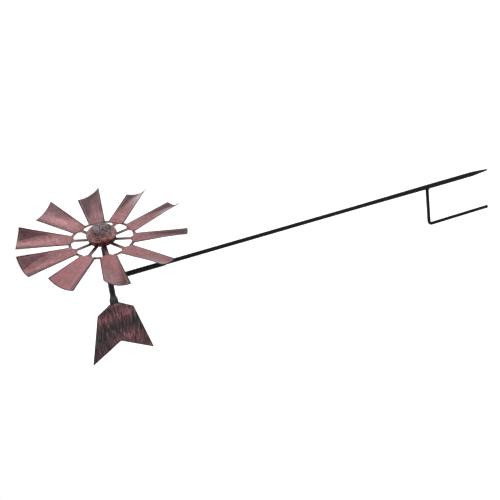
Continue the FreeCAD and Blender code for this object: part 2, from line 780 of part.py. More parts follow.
def hub_rivets():
    """Rivets through the flange, the wheel and the cup."""
    front = "dims.frame_thickness / 2 + dims.hub_wall"
    back = "dims.frame_thickness / 2 + dims.hub_flange_thickness"
    pins = []
    for angle in RIVET_ANGLES:
        x = f"dims.hub_rivet_circle * cos({angle} deg)"
        z = f"dims.hub_rivet_circle * sin({angle} deg)"
        shank = primitive(
            "Cylinder", f"rivet_shank_{angle}",
            Radius="dims.hub_rivet_radius", Height=f"{front} + {back}",
        )
        place(shank, x=x, y=back, z=z, axis=(1, 0, 0), angle="90")
        heads = []
        for side, y in (("front", f"-({front})"), ("back", f"{back} + dims.hub_rivet_head_height")):
            head = primitive(
                "Cylinder", f"rivet_{side}_head_{angle}",
                Radius="dims.hub_rivet_head_radius", Height="dims.hub_rivet_head_height",
            )
            heads.append(place(head, x=x, y=y, z=z, axis=(1, 0, 0), angle="90"))
        pins.append(fuse(f"rivet_{angle}", [shank] + heads))
    keep(at_wheel(fuse("hub_rivets", pins)), "hub_rivets")


def bush(name, side):
    """Flanged plain bush in one end of the barrel."""
    end = f"{side} * dims.hub_barrel_half_length"
    tail = f"{side} * (dims.hub_barrel_half_length - dims.bush_length)"
    face = f"{side} * ({BUSH_END})"
    at_wheel(turned(name, "XY_Plane", [
        ("dims.bush_bore_radius", tail),
        ("dims.bush_outer_radius", tail),
        ("dims.bush_outer_radius", end),
        ("dims.hub_barrel_radius", end),
        ("dims.hub_barrel_radius", face),
        ("dims.bush_bore_radius", face),
    ]))


# ---- assembly ------------------------------------------------------------------------------------

lower_stake()
upper_pole()
foot_fork()
fork_weld()
boom_tube()
tail_plate()
tail_welds()
pivot_socket()
thrust_pad()
socket_weld()
boom_plug()
axle_bolt()
axle_washers()
axle_spacer()
axle_nut()
spoke_frame()
for index in range(int(number("dims.wheel_blades"))):
    blade(index)
hub_drum()
hub_dome()
hub_barrel()
hub_rivets()
bush("front_bush", -1)
bush("rear_bush", 1)
doc.recompute()

for thing in doc.Objects:
    if "Invalid" in thing.State or "Error" in thing.State:
        raise ValueError(thing.Name + " did not build")
for piece in subparts:
    if piece.Shape.isNull() or not piece.Shape.isValid():
        raise ValueError(piece.Label + " has no valid shape")

os.makedirs("parts", exist_ok=True)
for piece in subparts:
    piece.Shape.exportStep(f"parts/{piece.Label}.step")
    box = piece.Shape.BoundBox
    print(f"{piece.Label}: {len(piece.Shape.Solids)} solid, {piece.Shape.Volume:.1f} mm3, "
          f"z {box.ZMin:.1f} to {box.ZMax:.1f}, y {box.YMin:.1f} to {box.YMax:.1f}")
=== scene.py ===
import json
import math

import bmesh
import bpy
from mathutils import Matrix, Vector, noise


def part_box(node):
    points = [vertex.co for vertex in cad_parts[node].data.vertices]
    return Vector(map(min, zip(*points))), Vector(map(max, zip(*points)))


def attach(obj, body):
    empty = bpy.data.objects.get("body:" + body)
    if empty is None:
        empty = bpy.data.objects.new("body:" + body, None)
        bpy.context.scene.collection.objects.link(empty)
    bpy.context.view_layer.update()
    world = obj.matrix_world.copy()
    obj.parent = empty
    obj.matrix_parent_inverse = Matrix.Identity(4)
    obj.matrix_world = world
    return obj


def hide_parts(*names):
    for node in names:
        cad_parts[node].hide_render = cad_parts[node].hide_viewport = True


# A windmill-style wind spinner on a ground stake, in metres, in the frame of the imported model:
# the wheel faces -Y, the tail points to +Y and the stake runs down -Z from the origin.

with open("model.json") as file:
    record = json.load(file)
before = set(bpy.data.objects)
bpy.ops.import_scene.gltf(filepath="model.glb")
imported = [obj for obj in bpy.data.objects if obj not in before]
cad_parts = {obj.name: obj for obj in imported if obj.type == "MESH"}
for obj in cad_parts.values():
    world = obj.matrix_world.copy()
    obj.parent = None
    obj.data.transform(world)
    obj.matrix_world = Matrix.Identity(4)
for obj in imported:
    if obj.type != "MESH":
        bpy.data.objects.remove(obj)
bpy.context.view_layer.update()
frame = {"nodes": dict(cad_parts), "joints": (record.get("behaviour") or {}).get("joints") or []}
nodes = frame["nodes"]
joints = {joint["name"]: joint for joint in frame["joints"]}
WHEEL_CENTRE = Vector(joints["wheel_spin"]["pos_m"])
HEAD_CENTRE = Vector(joints["head_swivel"]["pos_m"])
MM = 0.001


# ---- node helpers --------------------------------------------------------------------------------


class Shader:
    """A material under construction: makes nodes, links them and returns their sockets."""

    def __init__(self, name):
        self.material = bpy.data.materials.new(name)
        self.material.use_nodes = True
        self.tree = self.material.node_tree
        self.surface = self.tree.nodes["Principled BSDF"]

    def node(self, kind, *inputs, out=0, **settings):
        """A node with its inputs in order: a socket, a value, or None for the node's own."""
        made = self.tree.nodes.new(kind)
        for setting, value in settings.items():
            setattr(made, setting, value)
        for slot, value in enumerate(inputs):
            if value is None:
                continue
            if isinstance(value, bpy.types.NodeSocket):
                self.tree.links.new(value, made.inputs[slot])
            else:
                made.inputs[slot].default_value = value
        return made.outputs[out]

    def object_coords(self):
        return self.node("ShaderNodeTexCoord", out="Object")

    def grain_coords(self):
        return self.node("ShaderNodeUVMap", uv_map="grain")

    def attribute(self, name):
        return self.node("ShaderNodeAttribute", attribute_name=name, out="Fac")

    def noise(self, coords, scale, detail, rough=0.55, distortion=0.0):
        """Noise with one scale, or with three that stretch it."""
        if isinstance(scale, tuple):
            coords = self.node("ShaderNodeMapping", coords, None, None, scale)
            scale = 1.0
        made = self.tree.nodes.new("ShaderNodeTexNoise")
        self.tree.links.new(coords, made.inputs["Vector"])
        made.inputs["Scale"].default_value = scale
        made.inputs["Detail"].default_value = detail
        made.inputs["Roughness"].default_value = rough
        made.inputs["Distortion"].default_value = distortion
        return made.outputs["Fac"]

    def math(self, operation, first, second):
        return self.node("ShaderNodeMath", first, second, operation=operation)

    def times(self, first, second):
        return self.math("MULTIPLY", first, second)

    def total(self, *parts):
        """The sum of values that each come with a weight."""
        made = None
        for value, weight in parts:
            part = value if weight == 1 else self.times(value, weight)
            made = part if made is None else self.math("ADD", made, part)
        return made

    def between(self, value, low, high, to_low=0.0, to_high=1.0):
        """Value carried from low..high to to_low..to_high with eased ends."""
        return self.node(
            "ShaderNodeMapRange", value, low, high, to_low, to_high, interpolation_type="SMOOTHSTEP"
        )

    def blend(self, share, first, second):
        """A mix of two colors, each a socket or three numbers."""
        made = self.tree.nodes.new("ShaderNodeMix")
        made.data_type = "RGBA"
        for slot, value in ((0, share), (6, first), (7, second)):
            if isinstance(value, bpy.types.NodeSocket):
                self.tree.links.new(value, made.inputs[slot])
            else:
                made.inputs[slot].default_value = (*value, 1.0)
        return made.outputs[2]

    def brushed(self, color, paint, value, start, full, share=1.0):
        """A color under paint, none of it where value is start and a share where it is full."""
        return self.blend(self.between(value, start, full, 0.0, share), color, paint)

    def bump(self, height, distance, strength):
        made = self.tree.nodes.new("ShaderNodeBump")
        made.inputs["Strength"].default_value = strength
        made.inputs["Distance"].default_value = distance
        self.tree.links.new(height, made.inputs["Height"])
        return made.outputs["Normal"]

    def finish(self, color, rough, normal, metallic=0.0, specular=0.5):
        for name, value in (("Base Color", color), ("Roughness", rough), ("Normal", normal)):
            self.tree.links.new(value, self.surface.inputs[name])
        self.surface.inputs["Metallic"].default_value = metallic
        self.surface.inputs["Specular IOR Level"].default_value = specular
        return self.material


# ---- colors --------------------------------------------------------------------------------------

# Copper paint on the wheel, what shows where it is worn, and the colours of painted shade, sheen and
# highlights on it
PALE_ROSE = (0.66, 0.32, 0.34)
BRIGHT_ROSE = (0.62, 0.27, 0.295)
ROSE = (0.50, 0.205, 0.22)
DUSTY_ROSE = (0.40, 0.20, 0.21)
DEEP_ROSE = (0.22, 0.080, 0.085)
FRAME_ROSE = (0.40, 0.185, 0.185)
FRAME_BROWN = (0.23, 0.125, 0.12)
# Pale grey for a painted sheen towards the blade tips
SHEEN_GREY = (0.60, 0.50, 0.52)
SCUFFED_BROWN = (0.17, 0.115, 0.108)
# Dark brown for the cut edges and streaks, and also for painted shade on the blades and near the axle
EDGE_AND_SHADE_BROWN = (0.055, 0.036, 0.036)

# Dark vane and the copper brushed on it
TAIL_BLACK = (0.036, 0.038, 0.040)
TAIL_BROWN = (0.080, 0.060, 0.065)
TAIL_ROSE = (0.205, 0.088, 0.096)
TAIL_BRIGHT = (0.56, 0.235, 0.245)
TAIL_GREY = (0.37, 0.245, 0.255)
CHARCOAL = (0.020, 0.018, 0.018)

# Hub cap and cup
# Grey for the cap's crown, partly a painted reflection of the dark room
PEWTER = (0.34, 0.24, 0.26)
DARK_PEWTER = (0.065, 0.048, 0.054)
HUB_ROSE = (0.70, 0.35, 0.335)
HUB_MAROON = (0.15, 0.030, 0.038)
SCRATCHED = (0.42, 0.36, 0.34)
# Light copper for painted glints near the cap's rim
GLINT_COPPER = (0.62, 0.41, 0.36)
OXBLOOD = (0.13, 0.016, 0.024)
# Dark copper with painted shade on the cup behind the cap
SHADED_CUP_BLACK = (0.03, 0.004, 0.006)
SHADED_CUP_MAROON = (0.17, 0.018, 0.030)

# Black paint, bare metal and nylon
BLACK = (0.004, 0.0042, 0.0048)
DUSTY_BLACK = (0.010, 0.0103, 0.0115)
RUBBED_BLACK = (0.055, 0.053, 0.055)
BOOM_BLACK = (0.005, 0.0052, 0.0058)
DUSTY_BOOM = (0.014, 0.0142, 0.0155)
DULL_BOOM = (0.052, 0.056, 0.057)
RUBBED_BOOM = (0.06, 0.056, 0.057)
WELD_BLACK = (0.008, 0.008, 0.009)
DUSTY_WELD = (0.022, 0.020, 0.020)
ZINC = (0.56, 0.56, 0.57)
DULL_ZINC = (0.36, 0.355, 0.35)
NYLON = (0.045, 0.045, 0.047)
GRUBBY_NYLON = (0.08, 0.075, 0.07)
PAINT_SPECULAR = 0.22


# ---- materials -----------------------------------------------------------------------------------


def blade_copper():
    """Rose copper brushed lengthwise over brown, darker towards the cut edges, with painted shade,
    sheen and highlights laid on per blade.
    """
    s = Shader("blade_copper")
    grain = s.grain_coords()
    broad = s.noise(grain, (62, 22, 1), 5, 0.62, 0.8)
    streak = s.noise(grain, (250, 30, 1), 9, 0.78, 0.4)
    mottle = s.noise(grain, (190, 110, 1), 8, 0.76, 0.6)
    marks = s.noise(grain, (230, 150, 1), 6, 0.7, 1.2)
    hair = s.noise(grain, (1300, 60, 1), 4, 0.65)
    fleck = s.noise(grain, (900, 420, 1), 2)
    scuff = s.total((broad, 0.25), (streak, 0.5), (mottle, 0.35), (s.attribute("worn"), 0.05))
    color = s.brushed(ROSE, DUSTY_ROSE, broad, 0.36, 0.66)
    color = s.brushed(color, SCUFFED_BROWN, scuff, 0.53, 0.77, 0.66)
    color = s.brushed(color, BRIGHT_ROSE, mottle, 0.46, 0.32, 0.45)
    color = s.brushed(color, SCUFFED_BROWN, hair, 0.50, 0.68, 0.6)
    color = s.brushed(color, EDGE_AND_SHADE_BROWN, streak, 0.56, 0.68, 0.45)
    color = s.brushed(color, BRIGHT_ROSE, streak, 0.44, 0.34, 0.5)
    color = s.brushed(color, DEEP_ROSE, marks, 0.53, 0.63, 0.8)
    color = s.brushed(color, PALE_ROSE, marks, 0.46, 0.36, 0.85)
    color = s.brushed(color, EDGE_AND_SHADE_BROWN, fleck, 0.64, 0.76, 0.6)
    # Copper brightened per blade: partly rubbed bright and partly a painted highlight
    gloss = s.times(s.attribute("rubbed_and_lit"), s.between(streak, 0.35, 0.65, 0.6, 0.36))
    color = s.blend(gloss, color, BRIGHT_ROSE)
    # Painted sheen: pale grey towards the tips, standing for a reflection
    painted_sheen = s.times(s.attribute("painted_sheen"), s.between(streak, 0.35, 0.6, 1.0, 0.5))
    color = s.blend(s.math("MINIMUM", painted_sheen, 0.9), color, SHEEN_GREY)
    # Tarnish and painted shade: dark brown at the tips and along the edges, set per blade
    soot_and_shade = s.total((s.attribute("soot_and_shade"), 1), (streak, 0.35))
    color = s.brushed(color, EDGE_AND_SHADE_BROWN, soot_and_shade, 0.35, 1.15, 0.85)
    # Painted shadow: a brown wedge on two blades
    painted_shadow = s.total((s.attribute("painted_shadow"), 1), (mottle, 0.25))
    patchy = s.between(s.total((mottle, 1), (painted_shadow, 1)), 2.05, 0.8, 0.3, 0.85)
    color = s.blend(s.times(s.between(painted_shadow, 0.56, 0.72), patchy), color, EDGE_AND_SHADE_BROWN)
    color = s.brushed(color, BRIGHT_ROSE, s.attribute("pressed"), 0.25, 0.8, 0.3)
    rim = s.total((s.attribute("rim"), 1), (streak, -0.45))
    # Painted highlight: a pale line just inside the dark cut edges
    edge_highlight = s.times(s.between(rim, 0.3, 0.5, 0.0, 0.5), s.between(rim, 0.78, 0.55))
    color = s.blend(edge_highlight, color, BRIGHT_ROSE)
    color = s.brushed(color, EDGE_AND_SHADE_BROWN, rim, 0.42, -0.15, 0.95)
    rough = s.between(s.total((streak, 1), (hair, 0.4)), 0.45, 0.95, 0.34, 0.52)
    height = s.total((hair, 0.5), (streak, 1))
    return s.finish(color, rough, s.bump(height, 0.00012, 0.6), metallic=0.35, specular=0.35)


def frame_copper():
    """The same copper rubbed thinly over brown on the wheel's frame, with painted shade in brown near
    the axle.
    """
    s = Shader("frame_copper")
    coords = s.object_coords()
    broad = s.noise(coords, 60, 5, 0.6)
    streak = s.noise(coords, (500, 200, 500), 5, 0.6, 0.4)
    color = s.brushed(FRAME_ROSE, FRAME_BROWN, broad, 0.35, 0.7)
    color = s.brushed(color, EDGE_AND_SHADE_BROWN, streak, 0.52, 0.75, 0.6)
    # Painted shade: brown near the axle, standing for the hub's shadow on the spokes
    from_axle = s.node("ShaderNodeVectorMath", coords, WHEEL_CENTRE, out="Value", operation="DISTANCE")
    from_axle = s.total((from_axle, 1), (broad, 20 * MM))
    color = s.brushed(color, EDGE_AND_SHADE_BROWN, from_axle, 66 * MM, 40 * MM, 0.85)
    rough = s.between(streak, 0.3, 0.7, 0.38, 0.56)
    return s.finish(color, rough, s.bump(streak, 0.0001, 0.4), metallic=0.3)


def tail_copper():
    """Near-black brown with dry-brushed copper streaks that run from the boom to the points."""
    s = Shader("tail_copper")
    coords = s.object_coords()
    patch = s.noise(coords, (1, 40, 60), 5, 0.6, 0.6)
    patch = s.total((patch, 0.5), (s.attribute("rubbed"), 0.27))
    streak = s.noise(coords, (1, 40, 310), 7, 0.72, 0.3)
    hair = s.noise(coords, (1, 34, 460), 6, 0.72)
    smudge = s.noise(coords, (1, 210, 260), 4, 0.6, 0.8)
    rubbed = s.total((streak, 1.35), (patch, 0.7), (smudge, 0.35))
    rim = s.total((s.attribute("rim"), 1), (streak, -0.4))
    inside = s.between(rim, -0.15, 0.7)
    color = s.brushed(TAIL_BLACK, TAIL_BROWN, hair, 0.4, 0.65)
    color = s.blend(s.times(s.between(rubbed, 1.02, 1.24, 0.0, 0.9), inside), color, TAIL_ROSE)
    color = s.blend(s.times(s.between(rubbed, 1.24, 1.38, 0.0, 0.85), inside), color, TAIL_BRIGHT)
    color = s.brushed(color, CHARCOAL, hair, 0.50, 0.41, 0.75)
    color = s.blend(s.times(s.between(hair, 0.53, 0.63, 0.0, 0.65), inside), color, TAIL_GREY)
    rough = s.between(streak, 0.3, 0.7, 0.42, 0.6)
    height = s.total((hair, 0.6), (streak, 1))
    return s.finish(color, rough, s.bump(height, 0.00015, 0.6), metallic=0.15, specular=0.2)


def hub_copper():
    """Pewter grey brushed over the cap's crown, partly a painted reflection, copper towards its rim
    with painted glints, and painted shade in dark maroon on the cup.
    """
    s = Shader("hub_copper")
    coords = s.object_coords()
    band = s.attribute("crown")
    blotch = s.noise(coords, 90, 5, 0.6, 0.5)
    sweep = s.noise(s.grain_coords(), (110, 420, 1), 6, 0.68, 0.7)
    hair = s.noise(coords, (1500, 500, 260), 3)
    glint_noise = s.noise(coords, 260, 3, 0.6, 0.8)
    stain = s.noise(coords, 150, 4, 0.6, 0.6)
    lower = s.total((band, 1), (s.math("SUBTRACT", blotch, 0.5), 1.3))
    # The crown's grey is partly a painted reflection of the dark room
    crown = s.brushed(PEWTER, DARK_PEWTER, sweep, 0.4, 0.62)
    copper = s.brushed(HUB_ROSE, HUB_MAROON, sweep, 0.42, 0.60)
    color = s.brushed(crown, copper, lower, 0.45, 0.72)
    color = s.brushed(color, SCRATCHED, hair, 0.62, 0.76, 0.45)
    # Painted glints: light copper flecks in a ring near the rim
    glint_ring = s.times(s.between(band, 0.66, 0.8), s.between(band, 1.05, 0.97))
    painted_glints = s.times(s.between(glint_noise, 0.52, 0.6, 0.0, 0.8), glint_ring)
    color = s.blend(painted_glints, color, GLINT_COPPER)
    stained = s.times(s.between(stain, 0.5, 0.58, 0.0, 0.65), s.between(band, 0.6, 0.78))
    color = s.blend(stained, color, OXBLOOD)
    # Painted shade: the cup behind the cap in near-black and dark maroon
    shaded_cup = s.brushed(SHADED_CUP_BLACK, SHADED_CUP_MAROON, sweep, 0.42, 0.6)
    color = s.brushed(color, shaded_cup, band, 1.02, 1.15)
    rough = s.between(s.total((sweep, 1), (blotch, 0.5)), 0.5, 1.0, 0.4, 0.6)
    height = s.total((hair, 0.4), (sweep, 1))
    return s.finish(color, rough, s.bump(height, 0.00018, 0.6), metallic=0.45)


def black_paint():
    """Semi-gloss black paint with a faint orange peel, dust and rubbed spots."""
    s = Shader("black_paint")
    coords = s.object_coords()
    peel = s.noise(coords, 900, 3)
    cloud = s.noise(coords, 45, 5, 0.6)
    rub = s.noise(coords, (400, 400, 70), 5, 0.65)
    color = s.brushed(BLACK, DUSTY_BLACK, cloud, 0.35, 0.7)
    color = s.brushed(color, RUBBED_BLACK, rub, 0.62, 0.78, 0.6)
    rough = s.between(s.total((cloud, 1), (rub, 0.5)), 0.5, 1.0, 0.3, 0.5)
    return s.finish(color, rough, s.bump(peel, 0.00005, 0.35), specular=PAINT_SPECULAR)


def boom_paint():
    """Black paint dulled to charcoal where the boom is flattened, black again at its mouth."""
    s = Shader("boom_paint")
    coords = s.object_coords()
    along = s.node("ShaderNodeSeparateXYZ", coords, out="Y")
    cloud = s.noise(coords, 110, 5, 0.65)
    drag = s.noise(coords, (500, 60, 500), 5, 0.65)
    flattened = s.times(
        s.between(along, 28 * MM, 45 * MM), s.between(along, 56.2 * MM, 54.2 * MM)
    )
    dull = s.times(flattened, s.between(s.total((cloud, 1), (drag, 1)), 0.8, 1.1, 0.5, 1.0))
    color = s.brushed(BOOM_BLACK, DUSTY_BOOM, cloud, 0.35, 0.7)
    color = s.blend(dull, color, DULL_BOOM)
    color = s.brushed(color, RUBBED_BOOM, drag, 0.62, 0.76, 0.5)
    rough = s.between(cloud, 0.35, 0.7, 0.32, 0.5)
    return s.finish(color, rough, s.bump(drag, 0.00006, 0.4), specular=PAINT_SPECULAR)


def weld_paint():
    """The same black paint over rough weld metal."""
    s = Shader("weld_paint")
    coords = s.object_coords()
    lumps = s.noise(coords, 600, 4, 0.6)
    ripple = s.noise(coords, 1800, 3)
    color = s.brushed(WELD_BLACK, DUSTY_WELD, lumps, 0.4, 0.65)
    rough = s.between(ripple, 0.3, 0.7, 0.34, 0.6)
    height = s.total((lumps, 1), (ripple, 0.3))
    return s.finish(color, rough, s.bump(height, 0.0003, 0.5), specular=PAINT_SPECULAR)


def zinc_steel():
    """Zinc-plated hardware with fine turning marks and dull patches."""
    s = Shader("zinc_steel")
    coords = s.object_coords()
    turned = s.noise(coords, (120, 3800, 120), 3)
    dull = s.noise(coords, 240, 4, 0.6)
    color = s.brushed(ZINC, DULL_ZINC, dull, 0.4, 0.66)
    rough = s.between(s.total((turned, 1), (dull, 1)), 0.7, 1.3, 0.26, 0.48)
    return s.finish(color, rough, s.bump(turned, 0.00004, 0.4), metallic=1.0)


def plain_nylon():
    """Dark grey moulded nylon, slightly grubby."""
    s = Shader("plain_nylon")
    coords = s.object_coords()
    grub = s.noise(coords, 320, 4, 0.6)
    skin = s.noise(coords, 2600, 2)
    color = s.brushed(NYLON, GRUBBY_NYLON, grub, 0.45, 0.75)
    rough = s.between(skin, 0.3, 0.7, 0.42, 0.55)
    return s.finish(color, rough, s.bump(skin, 0.00004, 0.3))


MATERIALS = {
    "blade_copper": blade_copper(),
    "frame_copper": frame_copper(),
    "tail_copper": tail_copper(),
    "hub_copper": hub_copper(),
    "black_paint": black_paint(),
    "boom_paint": boom_paint(),
    "weld_paint": weld_paint(),
    "bare_steel": zinc_steel(),
    "nylon": plain_nylon(),
}


# ---- mesh helpers --------------------------------------------------------------------------------

# Points nearer than this are joined; edges sharper than this stay hard; and the length of grain,
# in metres, that is laid once round a turned piece
SAME_POINT = 0.001 * MM
SHARP_ANGLE = math.radians(38)
GRAIN_ROUND = 0.16

# A sheet's half thickness as a share of its thickness, within it and at its eased edges
MID_SHEET = 0.5
SHEET_EDGE = 0.28

# How fine the dents are in turned and bent rods and in the boom, as noise scales per metre
TURNED_DENTS = 55
FORK_DENTS = 120
BOOM_DENTS = 90


def ramp(value, start, stop):
    """0 at start and 1 at stop, straight between them and level beyond."""
    return min(1.0, max(0.0, (value - start) / (stop - start)))


def steps_on(values, end, count):
    """The values with even steps added from the last of them to the end."""
    start = values[-1]
    return values + [start + (end - start) * k / count for k in range(1, count + 1)]


def piece_from(name, mesh, body, slot, node, finish=None):
    """Link a mesh as a piece of the object: smooth shaded, painted and riding on its body."""
    mesh.shade_smooth()
    mesh.set_sharp_from_angle(angle=SHARP_ANGLE)
    mesh.materials.clear()
    mesh.materials.append(MATERIALS[finish or slot])
    piece = bpy.data.objects.new(name, mesh)
    bpy.context.scene.collection.objects.link(piece)
    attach(piece, body)
    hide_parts(node)
    return piece


def mesh_of(name, points, faces, uvs, attributes, joined=False):
    """A mesh with its grain map and point attributes; joined merges the points that meet."""
    mesh = bpy.data.meshes.new(name)
    mesh.from_pydata([tuple(point) for point in points], [], faces)
    if uvs is not None:
        layer = mesh.uv_layers.new(name="grain")
        for loop in mesh.loops:
            layer.data[loop.index].uv = uvs[loop.vertex_index]
    for title, values in (attributes or {}).items():
        made = mesh.attributes.new(title, "FLOAT", "POINT")
        made.data.foreach_set("value", values)
    work = bmesh.new()
    work.from_mesh(mesh)
    if joined:
        bmesh.ops.remove_doubles(work, verts=work.verts, dist=SAME_POINT)
    bmesh.ops.recalc_face_normals(work, faces=work.faces)
    work.to_mesh(mesh)
    work.free()
    mesh.validate()
    return mesh


def half_sheet(thickness, at_edge):
    """Half a sheet's thickness, which eases off at its edges."""
    return thickness * (SHEET_EDGE if at_edge else MID_SHEET)


def sheet_mesh(name, rows, thickness, uvs, attributes):
    """A closed sheet about a grid of middle points, with its edges eased."""
    count_v, count_u = len(rows), len(rows[0])
    normals = []
    for j in range(count_v):
        for i in range(count_u):
            along_u = rows[j][min(i + 1, count_u - 1)] - rows[j][max(i - 1, 0)]
            along_v = rows[min(j + 1, count_v - 1)][i] - rows[max(j - 1, 0)][i]
            normals.append(along_u.cross(along_v).normalized())
    points = []
    for side in (1, -1):
        for j in range(count_v):
            for i in range(count_u):
                half = half_sheet(thickness, i in (0, count_u - 1) or j in (0, count_v - 1))
                points.append(rows[j][i] + normals[j * count_u + i] * half * side)
    back = count_u * count_v

    def at(i, j, side):
        return j * count_u + i + (back if side else 0)

    faces = []
    for j in range(count_v - 1):
        for i in range(count_u - 1):
            faces.append((at(i, j, 0), at(i + 1, j, 0), at(i + 1, j + 1, 0), at(i, j + 1, 0)))
            faces.append((at(i, j, 1), at(i, j + 1, 1), at(i + 1, j + 1, 1), at(i + 1, j, 1)))
    for i in range(count_u - 1):
        for j in (0, count_v - 1):
            faces.append((at(i, j, 0), at(i, j, 1), at(i + 1, j, 1), at(i + 1, j, 0)))
    for j in range(count_v - 1):
        for i in (0, count_u - 1):
            faces.append((at(i, j, 0), at(i, j + 1, 0), at(i, j + 1, 1), at(i, j, 1)))
    both = {title: values * 2 for title, values in attributes.items()}
    return mesh_of(name, points, faces, uvs * 2, both)


def eased_steps(count, margin):
    """Steps from 0 to 1 with a narrow first and last one, for the eased edge of a sheet."""
    return [0.0] + [margin + (1 - 2 * margin) * k / (count - 1) for k in range(count)] + [1.0]


def ring_skin(name, rings, uvs=None, attributes=None, looped=False):
    """A skin over rings of points, where a ring of one point closes an end.

    A looped skin's last ring lies on its first one. Another's first ring is closed by a flat face.
    """
    points, starts = [], []
    for ring in rings:
        starts.append(len(points))
        points.extend(ring)
    faces = []
    for start, after, ring, next_ring in zip(starts, starts[1:], rings, rings[1:]):
        sides = max(len(ring), len(next_ring))
        for k in range(sides):
            m = (k + 1) % sides
            if len(ring) == 1:
                faces.append((start, after + m, after + k))
            elif len(next_ring) == 1:
                faces.append((start + k, start + m, after))
            else:
                faces.append((start + k, start + m, after + m, after + k))
    if not looped and len(rings[0]) > 1:
        faces.append(tuple(reversed(range(len(rings[0])))))
    return mesh_of(name, points, faces, uvs, attributes, looped)


def lathe_rings(profile, place, count, wobble):
    """Rings of points about an axis; profile pairs are radius and height, place maps local points."""
    rings = []
    for radius, height in profile:
        if radius < SAME_POINT:
            rings.append([place(Vector((0, 0, height)))])
            continue
        ring = []
        for k in range(count):
            turn = 2 * math.pi * k / count
            local = Vector((radius * math.cos(turn), radius * math.sin(turn), height))
            if wobble:
                local += local.normalized() * noise.noise(local * TURNED_DENTS) * wobble
            ring.append(place(local))
        rings.append(ring)
    return rings


def rounded(profile, radius, steps=3):
    """The profile with its inner corners rounded by short arcs."""
    result = [profile[0]]
    for before, corner, after in zip(profile, profile[1:], profile[2:]):
        b, c, a = Vector(before), Vector(corner), Vector(after)
        back, ahead = b - c, a - c
        cut = min(radius, back.length * 0.45, ahead.length * 0.45)
        start, end = c + back.normalized() * cut, c + ahead.normalized() * cut
        for k in range(steps + 1):
            t = k / steps
            point = start * (1 - t) ** 2 + c * 2 * t * (1 - t) + end * t ** 2
            result.append((point.x, point.y))
    result.append(profile[-1])
    return result


def divided(profile, step):
    """The profile with its long rises cut into pieces about a step high."""
    result = []
    for (r0, z0), (r1, z1) in zip(profile, profile[1:]):
        cuts = max(1, int(abs(z1 - z0) / step))
        result += [(r0 + (r1 - r0) * k / cuts, z0 + (z1 - z0) * k / cuts) for k in range(cuts)]
    return result + profile[-1:]


FLAT_ANGLE = math.radians(1.5)
EASED_ANGLE = math.radians(40)


def refined(name, body, slot, bevel=0.2 * MM):
    """A piece that takes a CAD node's shape, with its flat faces merged and its edges eased."""
    mesh = nodes[name].data.copy()
    mesh.name = name + "_eased"
    work = bmesh.new()
    work.from_mesh(mesh)
    bmesh.ops.remove_doubles(work, verts=work.verts, dist=SAME_POINT)
    bmesh.ops.dissolve_limit(work, angle_limit=FLAT_ANGLE, verts=work.verts, edges=work.edges)
    work.to_mesh(mesh)
    work.free()
    piece = piece_from(name + "_eased", mesh, body, slot, name)
    ease = piece.modifiers.new("ease", "BEVEL")
    ease.width = bevel
    ease.segments = 2
    ease.limit_method = "ANGLE"
    ease.angle_limit = EASED_ANGLE
    ease.harden_normals = True


WELD_VOXEL = 0.35 * MM
WELD_LUMP = 0.35 * MM
COARSE_LUMPS = 420
FINE_LUMPS = 1100


def weld_bead(name, body):
    """A weld node remade as a lumpy bead: remeshed, softened and pushed about by noise."""
    mesh = nodes[name].data.copy()
    mesh.name = name + "_bead"
    bead = piece_from(name + "_bead", mesh, body, "black_paint", name, "weld_paint")
    remesh = bead.modifiers.new("even", "REMESH")
    remesh.mode = "VOXEL"
    remesh.voxel_size = WELD_VOXEL
    soften = bead.modifiers.new("soften", "SMOOTH")
    soften.iterations = 3
    graph = bpy.context.evaluated_depsgraph_get()
    made = bpy.data.meshes.new_from_object(bead.evaluated_get(graph))
    bead.modifiers.clear()
    bead.data = made
    for vertex in made.vertices:
        push = noise.noise(vertex.co * COARSE_LUMPS) + 0.5 * noise.noise(vertex.co * FINE_LUMPS)
        vertex.co += vertex.normal * push * WELD_LUMP
    made.shade_smooth()
    made.materials.clear()
    made.materials.append(MATERIALS["weld_paint"])


# ---- blades --------------------------------------------------------------------------------------

BLADE_COUNT = 10
FIRST_BLADE_ANGLE = 23.4
BENT_BLADE = 4
BLADE_ROWS = 73
BLADE_COLUMNS = 25

# Each blade runs straight from a flat root to the bowed, pitched end of its blank, which the
# wheel's circle cuts short. Reaches are from the axis.
WHEEL_RADIUS = 152.4 * MM
ROOT_RADIUS = 55.2 * MM
FLAT_REACH = 60.6 * MM
BLANK_REACH = 153 * MM
ROOT_WIDTH = 29.6 * MM
FLAT_WIDTH = 30.6 * MM
TIP_CHORD = 47.5 * MM
TIP_CAMBER = 6.25 * MM
TIP_FORWARD = 10.3 * MM
TIP_PITCH = math.radians(23.4)
BENT_EXTRA = 5.3 * MM
BLADE_THICKNESS = 0.8 * MM
FRAME_THICKNESS = 1.2 * MM
SEAT = (FRAME_THICKNESS + BLADE_THICKNESS) / 2
BOW_RADIUS = ((TIP_CHORD / 2) ** 2 + TIP_CAMBER ** 2) / (2 * TIP_CAMBER)
BOW_ANGLE = math.asin(TIP_CHORD / 2 / BOW_RADIUS)

# How far a blade is out of true and over what length that fades in, the fineness of its waves in
# each direction per metre, and the shifts that keep one blade's waves and grain from the next one's
UNEVEN = 0.22 * MM
UNEVEN_FADE = 12 * MM
WAVES_ACROSS, WAVES_ALONG, WAVE_SHIFT = 38, 30, 7.3
GRAIN_SHIFT_ACROSS, GRAIN_SHIFT_ALONG = 0.61, 0.37

# The pressed arc near each root: its top's reach, its radius, and the crease's depth and half width
CREASE_REACH = 83 * MM
CREASE_RADIUS = 11 * MM
CREASE_DEPTH = 0.3 * MM
CREASE_WIDTH = 1.4 * MM

